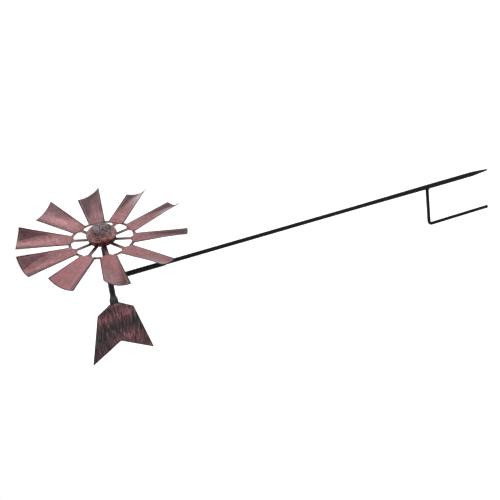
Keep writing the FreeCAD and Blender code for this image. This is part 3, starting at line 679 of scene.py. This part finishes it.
# How each blade looks, from 0 to about 2, set blade by blade, so that much of it is painted light and
# shade as well as age: tarnish and painted shade at the tip and trailing side, a dark line along the
# trailing edge and another along the leading edge near the root, both partly painted shade, dullness
# all over, partly painted shade, a painted sheen towards the tip, and copper rubbed bright, partly a
# painted highlight.
BLADE_WEAR_AND_SHADE = (
    dict(tarnish_and_shade=0.15, trailing=1.8, leading=0.7, dull=0.0, painted_sheen=0.0, rubbed_and_lit=0.0),
    dict(tarnish_and_shade=0.30, trailing=0.8, leading=1.2, dull=0.45, painted_sheen=0.45, rubbed_and_lit=0.2),
    dict(tarnish_and_shade=1.60, trailing=0.0, leading=1.1, dull=1.1, painted_sheen=0.0, rubbed_and_lit=0.0),
    dict(tarnish_and_shade=2.00, trailing=0.0, leading=1.0, dull=0.0, painted_sheen=1.3, rubbed_and_lit=0.0),
    dict(tarnish_and_shade=1.80, trailing=0.0, leading=0.9, dull=0.0, painted_sheen=1.4, rubbed_and_lit=0.0),
    dict(tarnish_and_shade=1.50, trailing=0.0, leading=1.2, dull=0.7, painted_sheen=0.7, rubbed_and_lit=0.0),
    dict(tarnish_and_shade=0.40, trailing=0.2, leading=0.3, dull=0.0, painted_sheen=1.2, rubbed_and_lit=0.3),
    dict(tarnish_and_shade=0.80, trailing=0.9, leading=0.4, dull=0.3, painted_sheen=0.3, rubbed_and_lit=0.4),
    dict(tarnish_and_shade=0.15, trailing=1.9, leading=0.0, dull=0.0, painted_sheen=0.0, rubbed_and_lit=1.0),
    dict(tarnish_and_shade=0.40, trailing=1.6, leading=0.3, dull=0.0, painted_sheen=0.0, rubbed_and_lit=0.0),
)

# The two blades with a painted shadow: a brown wedge, which widens from the leading edge towards the
# tip
SHADOWED_BLADES = (9, 0)


def blade_point(u, reach, index):
    """The blade's middle sheet at -1..1 across and a reach from the wheel's axis."""
    if reach <= FLAT_REACH:
        width = ROOT_WIDTH + (FLAT_WIDTH - ROOT_WIDTH) * ramp(reach, ROOT_RADIUS, FLAT_REACH)
        return Vector((u * width / 2, -SEAT, reach))
    forward = TIP_FORWARD + (BENT_EXTRA if index == BENT_BLADE else 0)
    across = BOW_RADIUS * math.sin(u * BOW_ANGLE)
    depth = TIP_CAMBER - BOW_RADIUS * (1 - math.cos(u * BOW_ANGLE))
    tip = Vector((
        across * math.cos(TIP_PITCH) + depth * math.sin(TIP_PITCH),
        -across * math.sin(TIP_PITCH) + depth * math.cos(TIP_PITCH) - forward,
        BLANK_REACH,
    ))
    start = Vector((u * FLAT_WIDTH / 2, 0, FLAT_REACH))
    share = (reach - FLAT_REACH) / (BLANK_REACH - FLAT_REACH)
    return start.lerp(tip, share) + Vector((0, -SEAT, 0))


def tip_reach(u, index):
    """The reach at which the round-cut tip ends the blade at that place across."""
    reach = WHEEL_RADIUS
    for _ in range(6):
        reach = math.sqrt(WHEEL_RADIUS ** 2 - blade_point(u, reach, index).x ** 2)
    return reach


def crease(point):
    """The pressed arc's height, 0 to 1, at a point of the blade."""
    centre = CREASE_REACH - CREASE_RADIUS
    if point.z < centre:
        return 0.0
    from_arc = math.hypot(point.x, point.z - centre) - CREASE_RADIUS
    return math.exp(-(from_arc / CREASE_WIDTH) ** 2)


def blade_paint(index, u, reach, ridge):
    """The values of a blade's paint attributes at one place, painted shade, sheen and highlight among
    them; u is 1 at the leading edge.
    """
    wear_and_shade = BLADE_WEAR_AND_SHADE[index]
    to_tip = tip_reach(u, index) - reach
    to_side = abs(blade_point(1, reach, index).x) * (1 - abs(u))
    to_root = reach - ROOT_RADIUS + 2 * MM
    outward = ramp(reach, 70 * MM, 140 * MM)
    tipward = ramp(reach, 104 * MM, 140 * MM)
    behind = max(0.0, 0.25 - u) ** 1.5 * outward
    at_tip = ramp(to_tip, 16 * MM, 0)
    # Tarnish, dark lines along the edges and dullness, each partly painted shade
    soot_and_shade = wear_and_shade["tarnish_and_shade"] * (0.8 * behind + 0.45 * at_tip)
    soot_and_shade += 0.46 * wear_and_shade["trailing"] * ramp(u, -0.6, -0.8)
    soot_and_shade += 0.5 * wear_and_shade["leading"] * ramp(u, 0.6, 0.85) * ramp(reach, 112 * MM, 92 * MM)
    soot_and_shade += wear_and_shade["dull"] * (0.42 + 0.1 * outward)
    # Painted shadow: the wedge on the shadowed blades
    wedge = 0.72 - 0.75 * (reach - 100 * MM) / (45 * MM)
    return {
        "rim": min(1.0, min(to_side, to_tip, to_root) / (4.5 * MM)),
        "worn": outward,
        "pressed": ridge * (1 - abs(u) ** 4),
        "soot_and_shade": soot_and_shade,
        "painted_shadow": ramp(4 * (u - wedge), -0.5, 0.5) if index in SHADOWED_BLADES else 0.0,
        # Painted sheen towards the tip
        "painted_sheen": wear_and_shade["painted_sheen"] * tipward * ramp(u, -0.5, 0.25),
        "rubbed_and_lit": wear_and_shade["rubbed_and_lit"],
    }


def blade(index):
    """One blade: a thin sheet with a pressed arc near its root and a slight unevenness."""
    turn = Matrix.Rotation(math.radians(FIRST_BLADE_ANGLE + 360 / BLADE_COUNT * index), 4, "Y")
    rows, uvs, paint = [], [], {}
    for v in eased_steps(BLADE_ROWS, 0.003):
        row = []
        for share in eased_steps(BLADE_COLUMNS, 0.008):
            u = 2 * share - 1
            reach = ROOT_RADIUS + (tip_reach(u, index) - ROOT_RADIUS) * v
            point = blade_point(u, reach, index)
            wave = Vector((point.x * WAVES_ACROSS, point.z * WAVES_ALONG, index * WAVE_SHIFT))
            fade = ramp(reach, FLAT_REACH, FLAT_REACH + UNEVEN_FADE)
            ridge = crease(point)
            point.y += noise.noise(wave) * UNEVEN * fade + ridge * CREASE_DEPTH
            row.append(WHEEL_CENTRE + turn @ point)
            uvs.append((point.x + GRAIN_SHIFT_ACROSS * index, reach + GRAIN_SHIFT_ALONG * index))
            for title, value in blade_paint(index, u, reach, ridge).items():
                paint.setdefault(title, []).append(value)
        rows.append(row)
    name = f"blade_{index + 1:02d}"
    mesh = sheet_mesh(name + "_sheet", rows, BLADE_THICKNESS, uvs, paint)
    piece_from(name + "_sheet", mesh, "wheel", "blade_copper", name)


for blade_index in range(BLADE_COUNT):
    blade(blade_index)


# ---- hub -----------------------------------------------------------------------------------------


def facing_front(local):
    """A point of the wheel from a local one whose height runs along -Y from the wheel's plane."""
    return WHEEL_CENTRE + Matrix.Rotation(math.radians(90), 4, "X") @ local


def around(profile, rings):
    """Grain coordinates for the points of lathe rings: the way round and the height."""
    return [
        (k / len(ring) * GRAIN_ROUND, height)
        for (_, height), ring in zip(profile, rings)
        for k in range(len(ring))
    ]


def hub_cap():
    """Spun domed cap with a folded rim."""
    rim_radius, rim_reach, lip = 27.3 * MM, 13.6 * MM, 2.5 * MM
    height, wall = 16 * MM, 1 * MM
    outer_steps, inner_steps = 28, 18
    bulge = (rim_radius ** 2 + height ** 2) / (2 * height)
    base = rim_reach + height - bulge
    widest = math.asin(rim_radius / bulge)
    profile = []
    for k in range(outer_steps + 1):
        angle = widest * k / outer_steps
        profile.append((bulge * math.sin(angle), base + bulge * math.cos(angle)))
    profile += [(rim_radius, rim_reach - lip), (rim_radius - wall, rim_reach - lip)]
    profile = rounded(profile, 0.7 * MM, 2)
    inner = bulge - wall
    widest = math.asin((rim_radius - wall) / inner)
    for k in range(inner_steps + 1):
        angle = widest * (1 - k / inner_steps)
        profile.append((inner * math.sin(angle), base + inner * math.cos(angle)))
    rings = lathe_rings(profile, facing_front, 96, 0.12 * MM)
    crown = []
    for (radius, _), ring in zip(profile, rings):
        crown += [min(1.0, radius / rim_radius) ** 2] * len(ring)
    mesh = ring_skin("hub_cap", rings, around(profile, rings), {"crown": crown})
    piece_from("hub_cap", mesh, "wheel", "hub_copper", "hub_dome")


def hub_cup():
    """Drawn cup behind the cap; a crown value above 1 makes it shadowed copper."""
    bore, radius, depth, wall = 7 * MM, 25 * MM, 15.1 * MM, 1 * MM
    foot = FRAME_THICKNESS / 2
    shadowed = 1.2
    profile = rounded([
        (bore, foot), (radius, foot), (radius, depth), (radius - wall, depth),
        (radius - wall, foot + wall), (bore, foot + wall),
    ], 0.9 * MM)
    profile += profile[:1]
    rings = lathe_rings(profile, facing_front, 80, 0.08 * MM)
    uvs = [(u, v + 0.3) for u, v in around(profile, rings)]
    mesh = ring_skin("hub_cup", rings, uvs, {"crown": [shadowed] * len(uvs)}, looped=True)
    piece_from("hub_cup", mesh, "wheel", "hub_copper", "hub_drum")


hub_cap()
hub_cup()
refined("spoke_frame", "wheel", "frame_copper", bevel=0.25 * MM)
refined("hub_barrel", "wheel", "black_paint")
refined("hub_rivets", "wheel", "black_paint", bevel=0.35 * MM)
refined("axle_nut", "head", "black_paint", bevel=0.3 * MM)
refined("axle_washers", "head", "black_paint")
refined("axle_spacer", "head", "black_paint")
refined("axle_bolt", "head", "bare_steel", bevel=0.3 * MM)
refined("front_bush", "wheel", "nylon", bevel=0.15 * MM)
refined("rear_bush", "wheel", "nylon", bevel=0.15 * MM)
refined("thrust_pad", "head", "nylon")


# ---- boom and tail -------------------------------------------------------------------------------

# Along the boom: its front, the end of its round stretch, the start of its flat one, and its mouth
BOOM_FRONT = -66 * MM
ROUND_END = 37 * MM
FLAT_START = 51 * MM
BOOM_MOUTH = 57.4 * MM

# Across it: the tube, and the flattened end's half height and the half gap for the tongue
BOOM_RADIUS = 5.5 * MM
BOOM_WALL = 1 * MM
HALF_FLAT = 8.35 * MM
HALF_GAP = 0.6 * MM


def boom_section(y, inset):
    """A ring round the boom, set in from its outside; the flattened end is taller than thick."""
    count = 64
    share = ramp(y, ROUND_END, FLAT_START)
    share = share * share * (3 - 2 * share)
    tall = BOOM_RADIUS + (HALF_FLAT - BOOM_RADIUS) * share - inset
    thick = BOOM_RADIUS + (HALF_GAP + BOOM_WALL - BOOM_RADIUS) * share - inset
    ring = []
    for k in range(count):
        turn = 2 * math.pi * k / count
        lift = (tall - thick) * max(-1.0, min(1.0, math.cos(turn) * 2.2))
        point = Vector((thick * math.sin(turn), y, thick * math.cos(turn) + lift))
        outward = Vector((point.x, 0, point.z)).normalized()
        ring.append(HEAD_CENTRE + point + outward * noise.noise(point * BOOM_DENTS) * 0.12 * MM)
    return ring


def boom():
    """Round tube pressed flat at its rear end round the tail's tongue."""
    eased = 0.25 * MM
    outside = [BOOM_FRONT, BOOM_FRONT + 0.3 * MM] + [BOOM_FRONT + 4 * MM * k for k in range(1, 26)]
    outside += [ROUND_END + 1.4 * MM * k for k in range(11)]
    outside += [54 * MM, BOOM_MOUTH - 0.3 * MM, BOOM_MOUTH]
    inside = [BOOM_MOUTH - 0.5 * MM, FLAT_START, 47 * MM, 42 * MM, 30 * MM]
    inside += [0.0, BOOM_FRONT + 10 * MM, BOOM_FRONT]
    rings = [boom_section(BOOM_FRONT, BOOM_WALL)]
    rings += [boom_section(y, eased if y in (BOOM_FRONT, BOOM_MOUTH) else 0) for y in outside]
    rings += [boom_section(BOOM_MOUTH, BOOM_WALL * 0.9)]
    rings += [boom_section(y, BOOM_WALL) for y in inside]
    mesh = ring_skin("boom", rings, looped=True)
    piece_from("boom", mesh, "head", "black_paint", "boom_tube", "boom_paint")


# The vane's upper edge from the end of its tongue to its tip, as distances behind the pole and
# heights above the boom's axis, in mm. The lower half mirrors it.
TAIL_EDGE = ((46, 7.1), (BOOM_MOUTH / MM, HALF_FLAT / MM), (76, 35.5), (191, 62.5))

# Also in mm: the notch's deepest point behind the pole, how much of the sharp tip is missing, and
# the width of the dark rim
TAIL_NOTCH = 150.6
TAIL_BLUNT = 0.8
TAIL_RIM = 3.0

# The sheet's thickness, and about how far it bends out of true
TAIL_THICKNESS = 1.2 * MM
TAIL_BEND = 0.5 * MM

# The slanting charcoal band: its middle behind the pole in mm, its slant, and its half width in mm
BAND_MIDDLE = 117
BAND_SLANT = 0.2
BAND_REACH = 26

# Handled spots on the vane: y and z in mm, radius in mm, and how much more or less copper shows
TAIL_PATCHES = (
    (86, -21, 12, 0.8),
    (140, -15, 13, 0.8),
    (62, 1, 6, 0.6),
    (71, 9, 6, -1.2),
    (68, -9, 5, -0.8),
    (165, -48, 14, -0.4),
)


def rubbed_share(place):
    """How much copper is brushed on the vane there: less along a slanting charcoal band."""
    y, z = place.y / MM, place.z / MM
    past_band = (y - BAND_MIDDLE - BAND_SLANT * z) / BAND_REACH
    share = min(1.0, abs(past_band))
    if past_band > 0:
        share *= 1 - 0.5 * ramp(z, 5, 35)
    for patch_y, patch_z, radius, amount in TAIL_PATCHES:
        apart = math.hypot(y - patch_y, z - patch_z) / radius
        share += amount * math.exp(-apart ** 2)
    return share


def tail_top(y):
    """The height of the vane's upper edge above the boom's axis, in mm."""
    for (y0, top0), (y1, top1) in zip(TAIL_EDGE, TAIL_EDGE[1:]):
        if y <= y1:
            return top0 + (top1 - top0) * (y - y0) / (y1 - y0)
    return TAIL_EDGE[-1][1]


def half_vane(stations, steps):
    """Rows of points on the vane's upper half, and a rim value for each: 0 at the edge, 1 inside."""
    tip_y, tip_z = TAIL_EDGE[-1]
    rows, rim = [], []
    for y in stations:
        top = tail_top(y)
        low = tip_z * max(0.0, y - TAIL_NOTCH) / (tip_y - TAIL_NOTCH)
        row = []
        for share in steps:
            z = low + (top - low) * share
            bend = noise.noise(Vector((y * 0.021, z * 0.028, 3.7))) * TAIL_BEND
            row.append(Vector((bend * ramp(y, 60, 90), y * MM, z * MM)))
            to_outer = (top - z) * 0.85
            to_notch = (z - low) * 0.6 if y > TAIL_NOTCH else math.hypot(TAIL_NOTCH - y, z) * 0.8
            rim.append(min(1.0, min(to_outer, to_notch) / TAIL_RIM))
        rows.append(row)
    return rows, rim


def tail():
    """Sheet vane with a notch between its two points; each half is a fan of strips."""
    (tongue, _), (mouth, _), (shoulder, _), (tip, _) = TAIL_EDGE
    stations = steps_on([tongue, tongue + 0.4], mouth, 8)
    stations = steps_on(stations, shoulder, 14)
    stations = steps_on(stations, TAIL_NOTCH, 40)
    stations = steps_on(stations, tip - TAIL_BLUNT, 24)
    rows, rim = half_vane(stations, eased_steps(25, 0.012))
    count, columns = len(rows), len(rows[0])
    grid = count * columns
    points, faces, uvs, rubbed = [], [], [], []
    for mirror in (1, -1):
        base = len(points)
        for side in (1, -1):
            for j, row in enumerate(rows):
                for i, point in enumerate(row):
                    outer_rim = i == columns - 1 or j in (0, count - 1)
                    edge_highlight = i == 0 and stations[j] > TAIL_NOTCH - 0.5
                    half = half_sheet(TAIL_THICKNESS, outer_rim or edge_highlight)
                    place = Vector((point.x + half * side, point.y, point.z * mirror))
                    points.append(HEAD_CENTRE + place)
                    uvs.append((place.z, place.y))
                    rubbed.append(rubbed_share(place))
        corners = [base + j * columns + i for j in range(count - 1) for i in range(columns - 1)]
        for a in corners:
            quad = (a, a + 1, a + columns + 1, a + columns)
            faces += [quad, tuple(corner + grid for corner in reversed(quad))]
        for j in range(count - 1):
            a = base + j * columns + columns - 1
            faces.append((a, a + grid, a + grid + columns, a + columns))
            if stations[j] >= TAIL_NOTCH - 0.01:
                a = base + j * columns
                faces.append((a, a + columns, a + grid + columns, a + grid))
        for i in range(columns - 1):
            for j in (0, count - 1):
                a = base + j * columns + i
                faces.append((a, a + 1, a + grid + 1, a + grid))
    mesh = mesh_of("tail", points, faces, uvs, {"rim": rim * 4, "rubbed": rubbed}, joined=True)
    piece_from("tail", mesh, "head", "tail_copper", "tail_plate")


boom()
tail()
weld_bead("tail_welds", "head")
refined("boom_plug", "head", "black_paint", bevel=0.4 * MM)
refined("pivot_socket", "head", "black_paint", bevel=0.25 * MM)
weld_bead("socket_weld", "head")


# ---- ground stake --------------------------------------------------------------------------------


def upright(local):
    """The stake's own axis is the frame's Z."""
    return local


def turned_rod(name, node, profile, step, wobble=0.0):
    """A rod from its profile of radius and height in mm, with rings about a step apart."""
    rings = lathe_rings([(r * MM, z * MM) for r, z in divided(profile, step)], upright, 48, wobble)
    piece_from(name, ring_skin(name, rings), "ground_stake", "black_paint", node)


def pole():
    """Plain rod with a rounded top and a stud at its foot."""
    radius, stud, foot, shoulder, top = 4, 2.65, 160, 178, 686.8
    profile = [
        (0, foot), (stud, foot), (stud, shoulder), (radius, shoulder),
        (radius, top - 2), (radius / 2, top - 0.5), (0, top),
    ]
    turned_rod("pole", "upper_pole", rounded(profile, 0.4), 20)


def stake():
    """Stake with a drawn taper above the ground and a hammered point below it."""
    radius, neck, bore, bore_foot, top, point, shank_foot = 5, 4, 2.7, 159, 178, -148, -109
    profile = [
        (0, point), (1.8, point + 0.9), (radius, shank_foot), (radius, 1),
        (neck, top - 0.2), (bore, top), (bore, bore_foot), (0, bore_foot),
    ]
    turned_rod("stake", "lower_stake", rounded(profile, 1.5), 6, 0.07 * MM)


FORK_HEADING = math.radians(13.2)
FORK_RADIUS = 3.5 * MM
FORK_REACH = 84 * MM
FORK_BEND = 7 * MM
FORK_HEIGHT = 6 * MM
FORK_FOOT = -145 * MM
FORK_BLUNT = 1.2 * MM

# The prong's rounded end: how far each ring shrinks, and how far below the shank it lies
FORK_END = ((0.93, 0.55 * MM), (0.72, 0.95 * MM), (0.4, 1.15 * MM))


def fork():
    """Bar welded square to the stake and bent down into the second prong."""
    bar_steps, bend_steps, prong_steps, sides = 14, 12, 26, 32
    direction = Vector((-math.sin(FORK_HEADING), math.cos(FORK_HEADING), 0))
    side = Vector((direction.y, -direction.x, 0))
    bend_out, bend_up = FORK_REACH - FORK_BEND, FORK_HEIGHT - FORK_BEND
    shank_foot = FORK_FOOT + FORK_BLUNT
    path = [(out, FORK_HEIGHT) for out in steps_on([FORK_RADIUS], bend_out, bar_steps)]
    for k in range(1, bend_steps + 1):
        turn = math.pi / 2 * k / bend_steps
        path.append((bend_out + FORK_BEND * math.sin(turn), bend_up + FORK_BEND * math.cos(turn)))
    path += [(FORK_REACH, up) for up in steps_on([bend_up], shank_foot, prong_steps)[1:]]
    rings = []
    for k, (out, up) in enumerate(path):
        before, after = path[max(k - 1, 0)], path[min(k + 1, len(path) - 1)]
        along = direction * (after[0] - before[0]) + Vector((0, 0, after[1] - before[1]))
        across = side.cross(along.normalized()).normalized()
        centre = direction * out + Vector((0, 0, up))
        ring = []
        for m in range(sides):
            turn = 2 * math.pi * m / sides
            offset = side * math.cos(turn) + across * math.sin(turn)
            dent = noise.noise((centre + offset * FORK_RADIUS) * FORK_DENTS) * 0.1 * MM
            ring.append(centre + offset * (FORK_RADIUS + dent))
        rings.append(ring)
    last = rings[-1]
    middle = direction * FORK_REACH + Vector((0, 0, shank_foot))
    for shrink, drop in FORK_END:
        rings.append([middle + (p - middle) * shrink - Vector((0, 0, drop)) for p in last])
    rings.append([middle - Vector((0, 0, FORK_BLUNT))])
    piece_from("fork", ring_skin("fork", rings), "ground_stake", "black_paint", "foot_fork")


pole()
stake()
fork()
weld_bead("fork_weld", "ground_stake")


# ---- floor, lights and camera --------------------------------------------------------------------

FLOOR_HALF = 14.0
FLOOR_GAP = 0.5 * MM
FLOOR_GLOW = 0.8
PAPER = (0.93, 0.93, 0.93)
PALE_PAPER = (0.95, 0.95, 0.95)
WHITE = (1, 1, 1, 1)

# The studio's brighter side, and the strength of its light from the far side to that side
LIT_SIDE = Vector((0.6, 0.8, 0.0)).normalized()
DIM, BRIGHT = 0.3, 1.6


def pale_floor():
    """Plain pale studio floor just under the stake's point."""
    low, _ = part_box("lower_stake")
    mesh = bpy.data.meshes.new("floor")
    corners = [
        (-FLOOR_HALF, -FLOOR_HALF), (FLOOR_HALF, -FLOOR_HALF),
        (FLOOR_HALF, FLOOR_HALF), (-FLOOR_HALF, FLOOR_HALF),
    ]
    mesh.from_pydata([(x, y, low.z - FLOOR_GAP) for x, y in corners], [], [(0, 1, 2, 3)])
    s = Shader("floor_paper")
    fibre = s.noise(s.object_coords(), 60, 3)
    color = s.blend(fibre, PAPER, PALE_PAPER)
    rough = s.between(fibre, 0.3, 0.7, 0.85, 0.95)
    s.finish(color, rough, s.bump(fibre, 0.0001, 0.1), specular=0.1)
    s.surface.inputs["Emission Color"].default_value = WHITE
    seen = s.node("ShaderNodeLightPath", out="Is Camera Ray")
    s.tree.links.new(s.times(seen, FLOOR_GLOW), s.surface.inputs["Emission Strength"])
    mesh.materials.append(s.material)
    floor = bpy.data.objects.new("floor", mesh)
    bpy.context.scene.collection.objects.link(floor)


def surroundings():
    """A white studio: plain white behind everything, softly brighter towards the lit side."""
    world = bpy.data.worlds.new("studio")
    bpy.context.scene.world = world
    world.use_nodes = True
    tree = world.node_tree
    tree.nodes.clear()
    coords = tree.nodes.new("ShaderNodeTexCoord")
    toward = tree.nodes.new("ShaderNodeVectorMath")
    toward.operation = "DOT_PRODUCT"
    toward.inputs[1].default_value = LIT_SIDE
    spread = tree.nodes.new("ShaderNodeMapRange")
    spread.interpolation_type = "SMOOTHSTEP"
    for title, value in (("From Min", -0.4), ("From Max", 0.75), ("To Min", DIM), ("To Max", BRIGHT)):
        spread.inputs[title].default_value = value
    lit = tree.nodes.new("ShaderNodeBackground")
    plain = tree.nodes.new("ShaderNodeBackground")
    plain.inputs["Color"].default_value = WHITE
    path = tree.nodes.new("ShaderNodeLightPath")
    mix = tree.nodes.new("ShaderNodeMixShader")
    out = tree.nodes.new("ShaderNodeOutputWorld")
    tree.links.new(coords.outputs["Generated"], toward.inputs[0])
    tree.links.new(toward.outputs["Value"], spread.inputs["Value"])
    tree.links.new(spread.outputs["Result"], lit.inputs["Strength"])
    tree.links.new(path.outputs["Is Camera Ray"], mix.inputs[0])
    tree.links.new(lit.outputs[0], mix.inputs[1])
    tree.links.new(plain.outputs[0], mix.inputs[2])
    tree.links.new(mix.outputs[0], out.inputs[0])


def softbox(name, place, target, size, power):
    """A round white light at a place, turned to its target."""
    light = bpy.data.lights.new(name, "AREA")
    light.shape = "DISK"
    light.size = size
    light.energy = power
    lamp = bpy.data.objects.new(name, light)
    lamp.location = place
    lamp.rotation_mode = "QUATERNION"
    lamp.rotation_quaternion = (Vector(target) - Vector(place)).to_track_quat("-Z", "Y")
    bpy.context.scene.collection.objects.link(lamp)


CAMERA_PLACE = Vector((-1.2193, -0.8878, 0.9041))
CAMERA_AZIMUTH = math.radians(53.108)
CAMERA_DROP = math.radians(17.80)
CAMERA_ROLL = math.radians(106.42)
CAMERA_LENS = 58.6
CAMERA_SENSOR = 36


def camera():
    """The photograph's view: a little above the head, looking down and turned on its side."""
    data = bpy.data.cameras.new("camera")
    data.sensor_width = CAMERA_SENSOR
    data.lens = CAMERA_LENS
    data.clip_start, data.clip_end = 0.05, 60
    forward = Vector((
        math.sin(CAMERA_AZIMUTH) * math.cos(CAMERA_DROP),
        math.cos(CAMERA_AZIMUTH) * math.cos(CAMERA_DROP),
        -math.sin(CAMERA_DROP),
    ))
    level_right = forward.cross(Vector((0, 0, 1))).normalized()
    level_up = level_right.cross(forward)
    up = level_up * math.cos(CAMERA_ROLL) + level_right * math.sin(CAMERA_ROLL)
    right = forward.cross(up)
    turn = Matrix((right, up, -forward)).transposed()
    eye = bpy.data.objects.new("camera", data)
    eye.rotation_mode = "QUATERNION"
    eye.rotation_quaternion = turn.to_quaternion()
    eye.location = CAMERA_PLACE
    bpy.context.scene.collection.objects.link(eye)
    bpy.context.scene.camera = eye


pale_floor()
surroundings()
softbox("key", place=(1.6, -2.0, 0.95), target=HEAD_CENTRE, size=0.7, power=11)
softbox("top", place=(0.3, -0.4, 3.2), target=(0, 0, 0.3), size=3.0, power=6)
camera()
bpy.context.scene.view_settings.view_transform = "Standard"
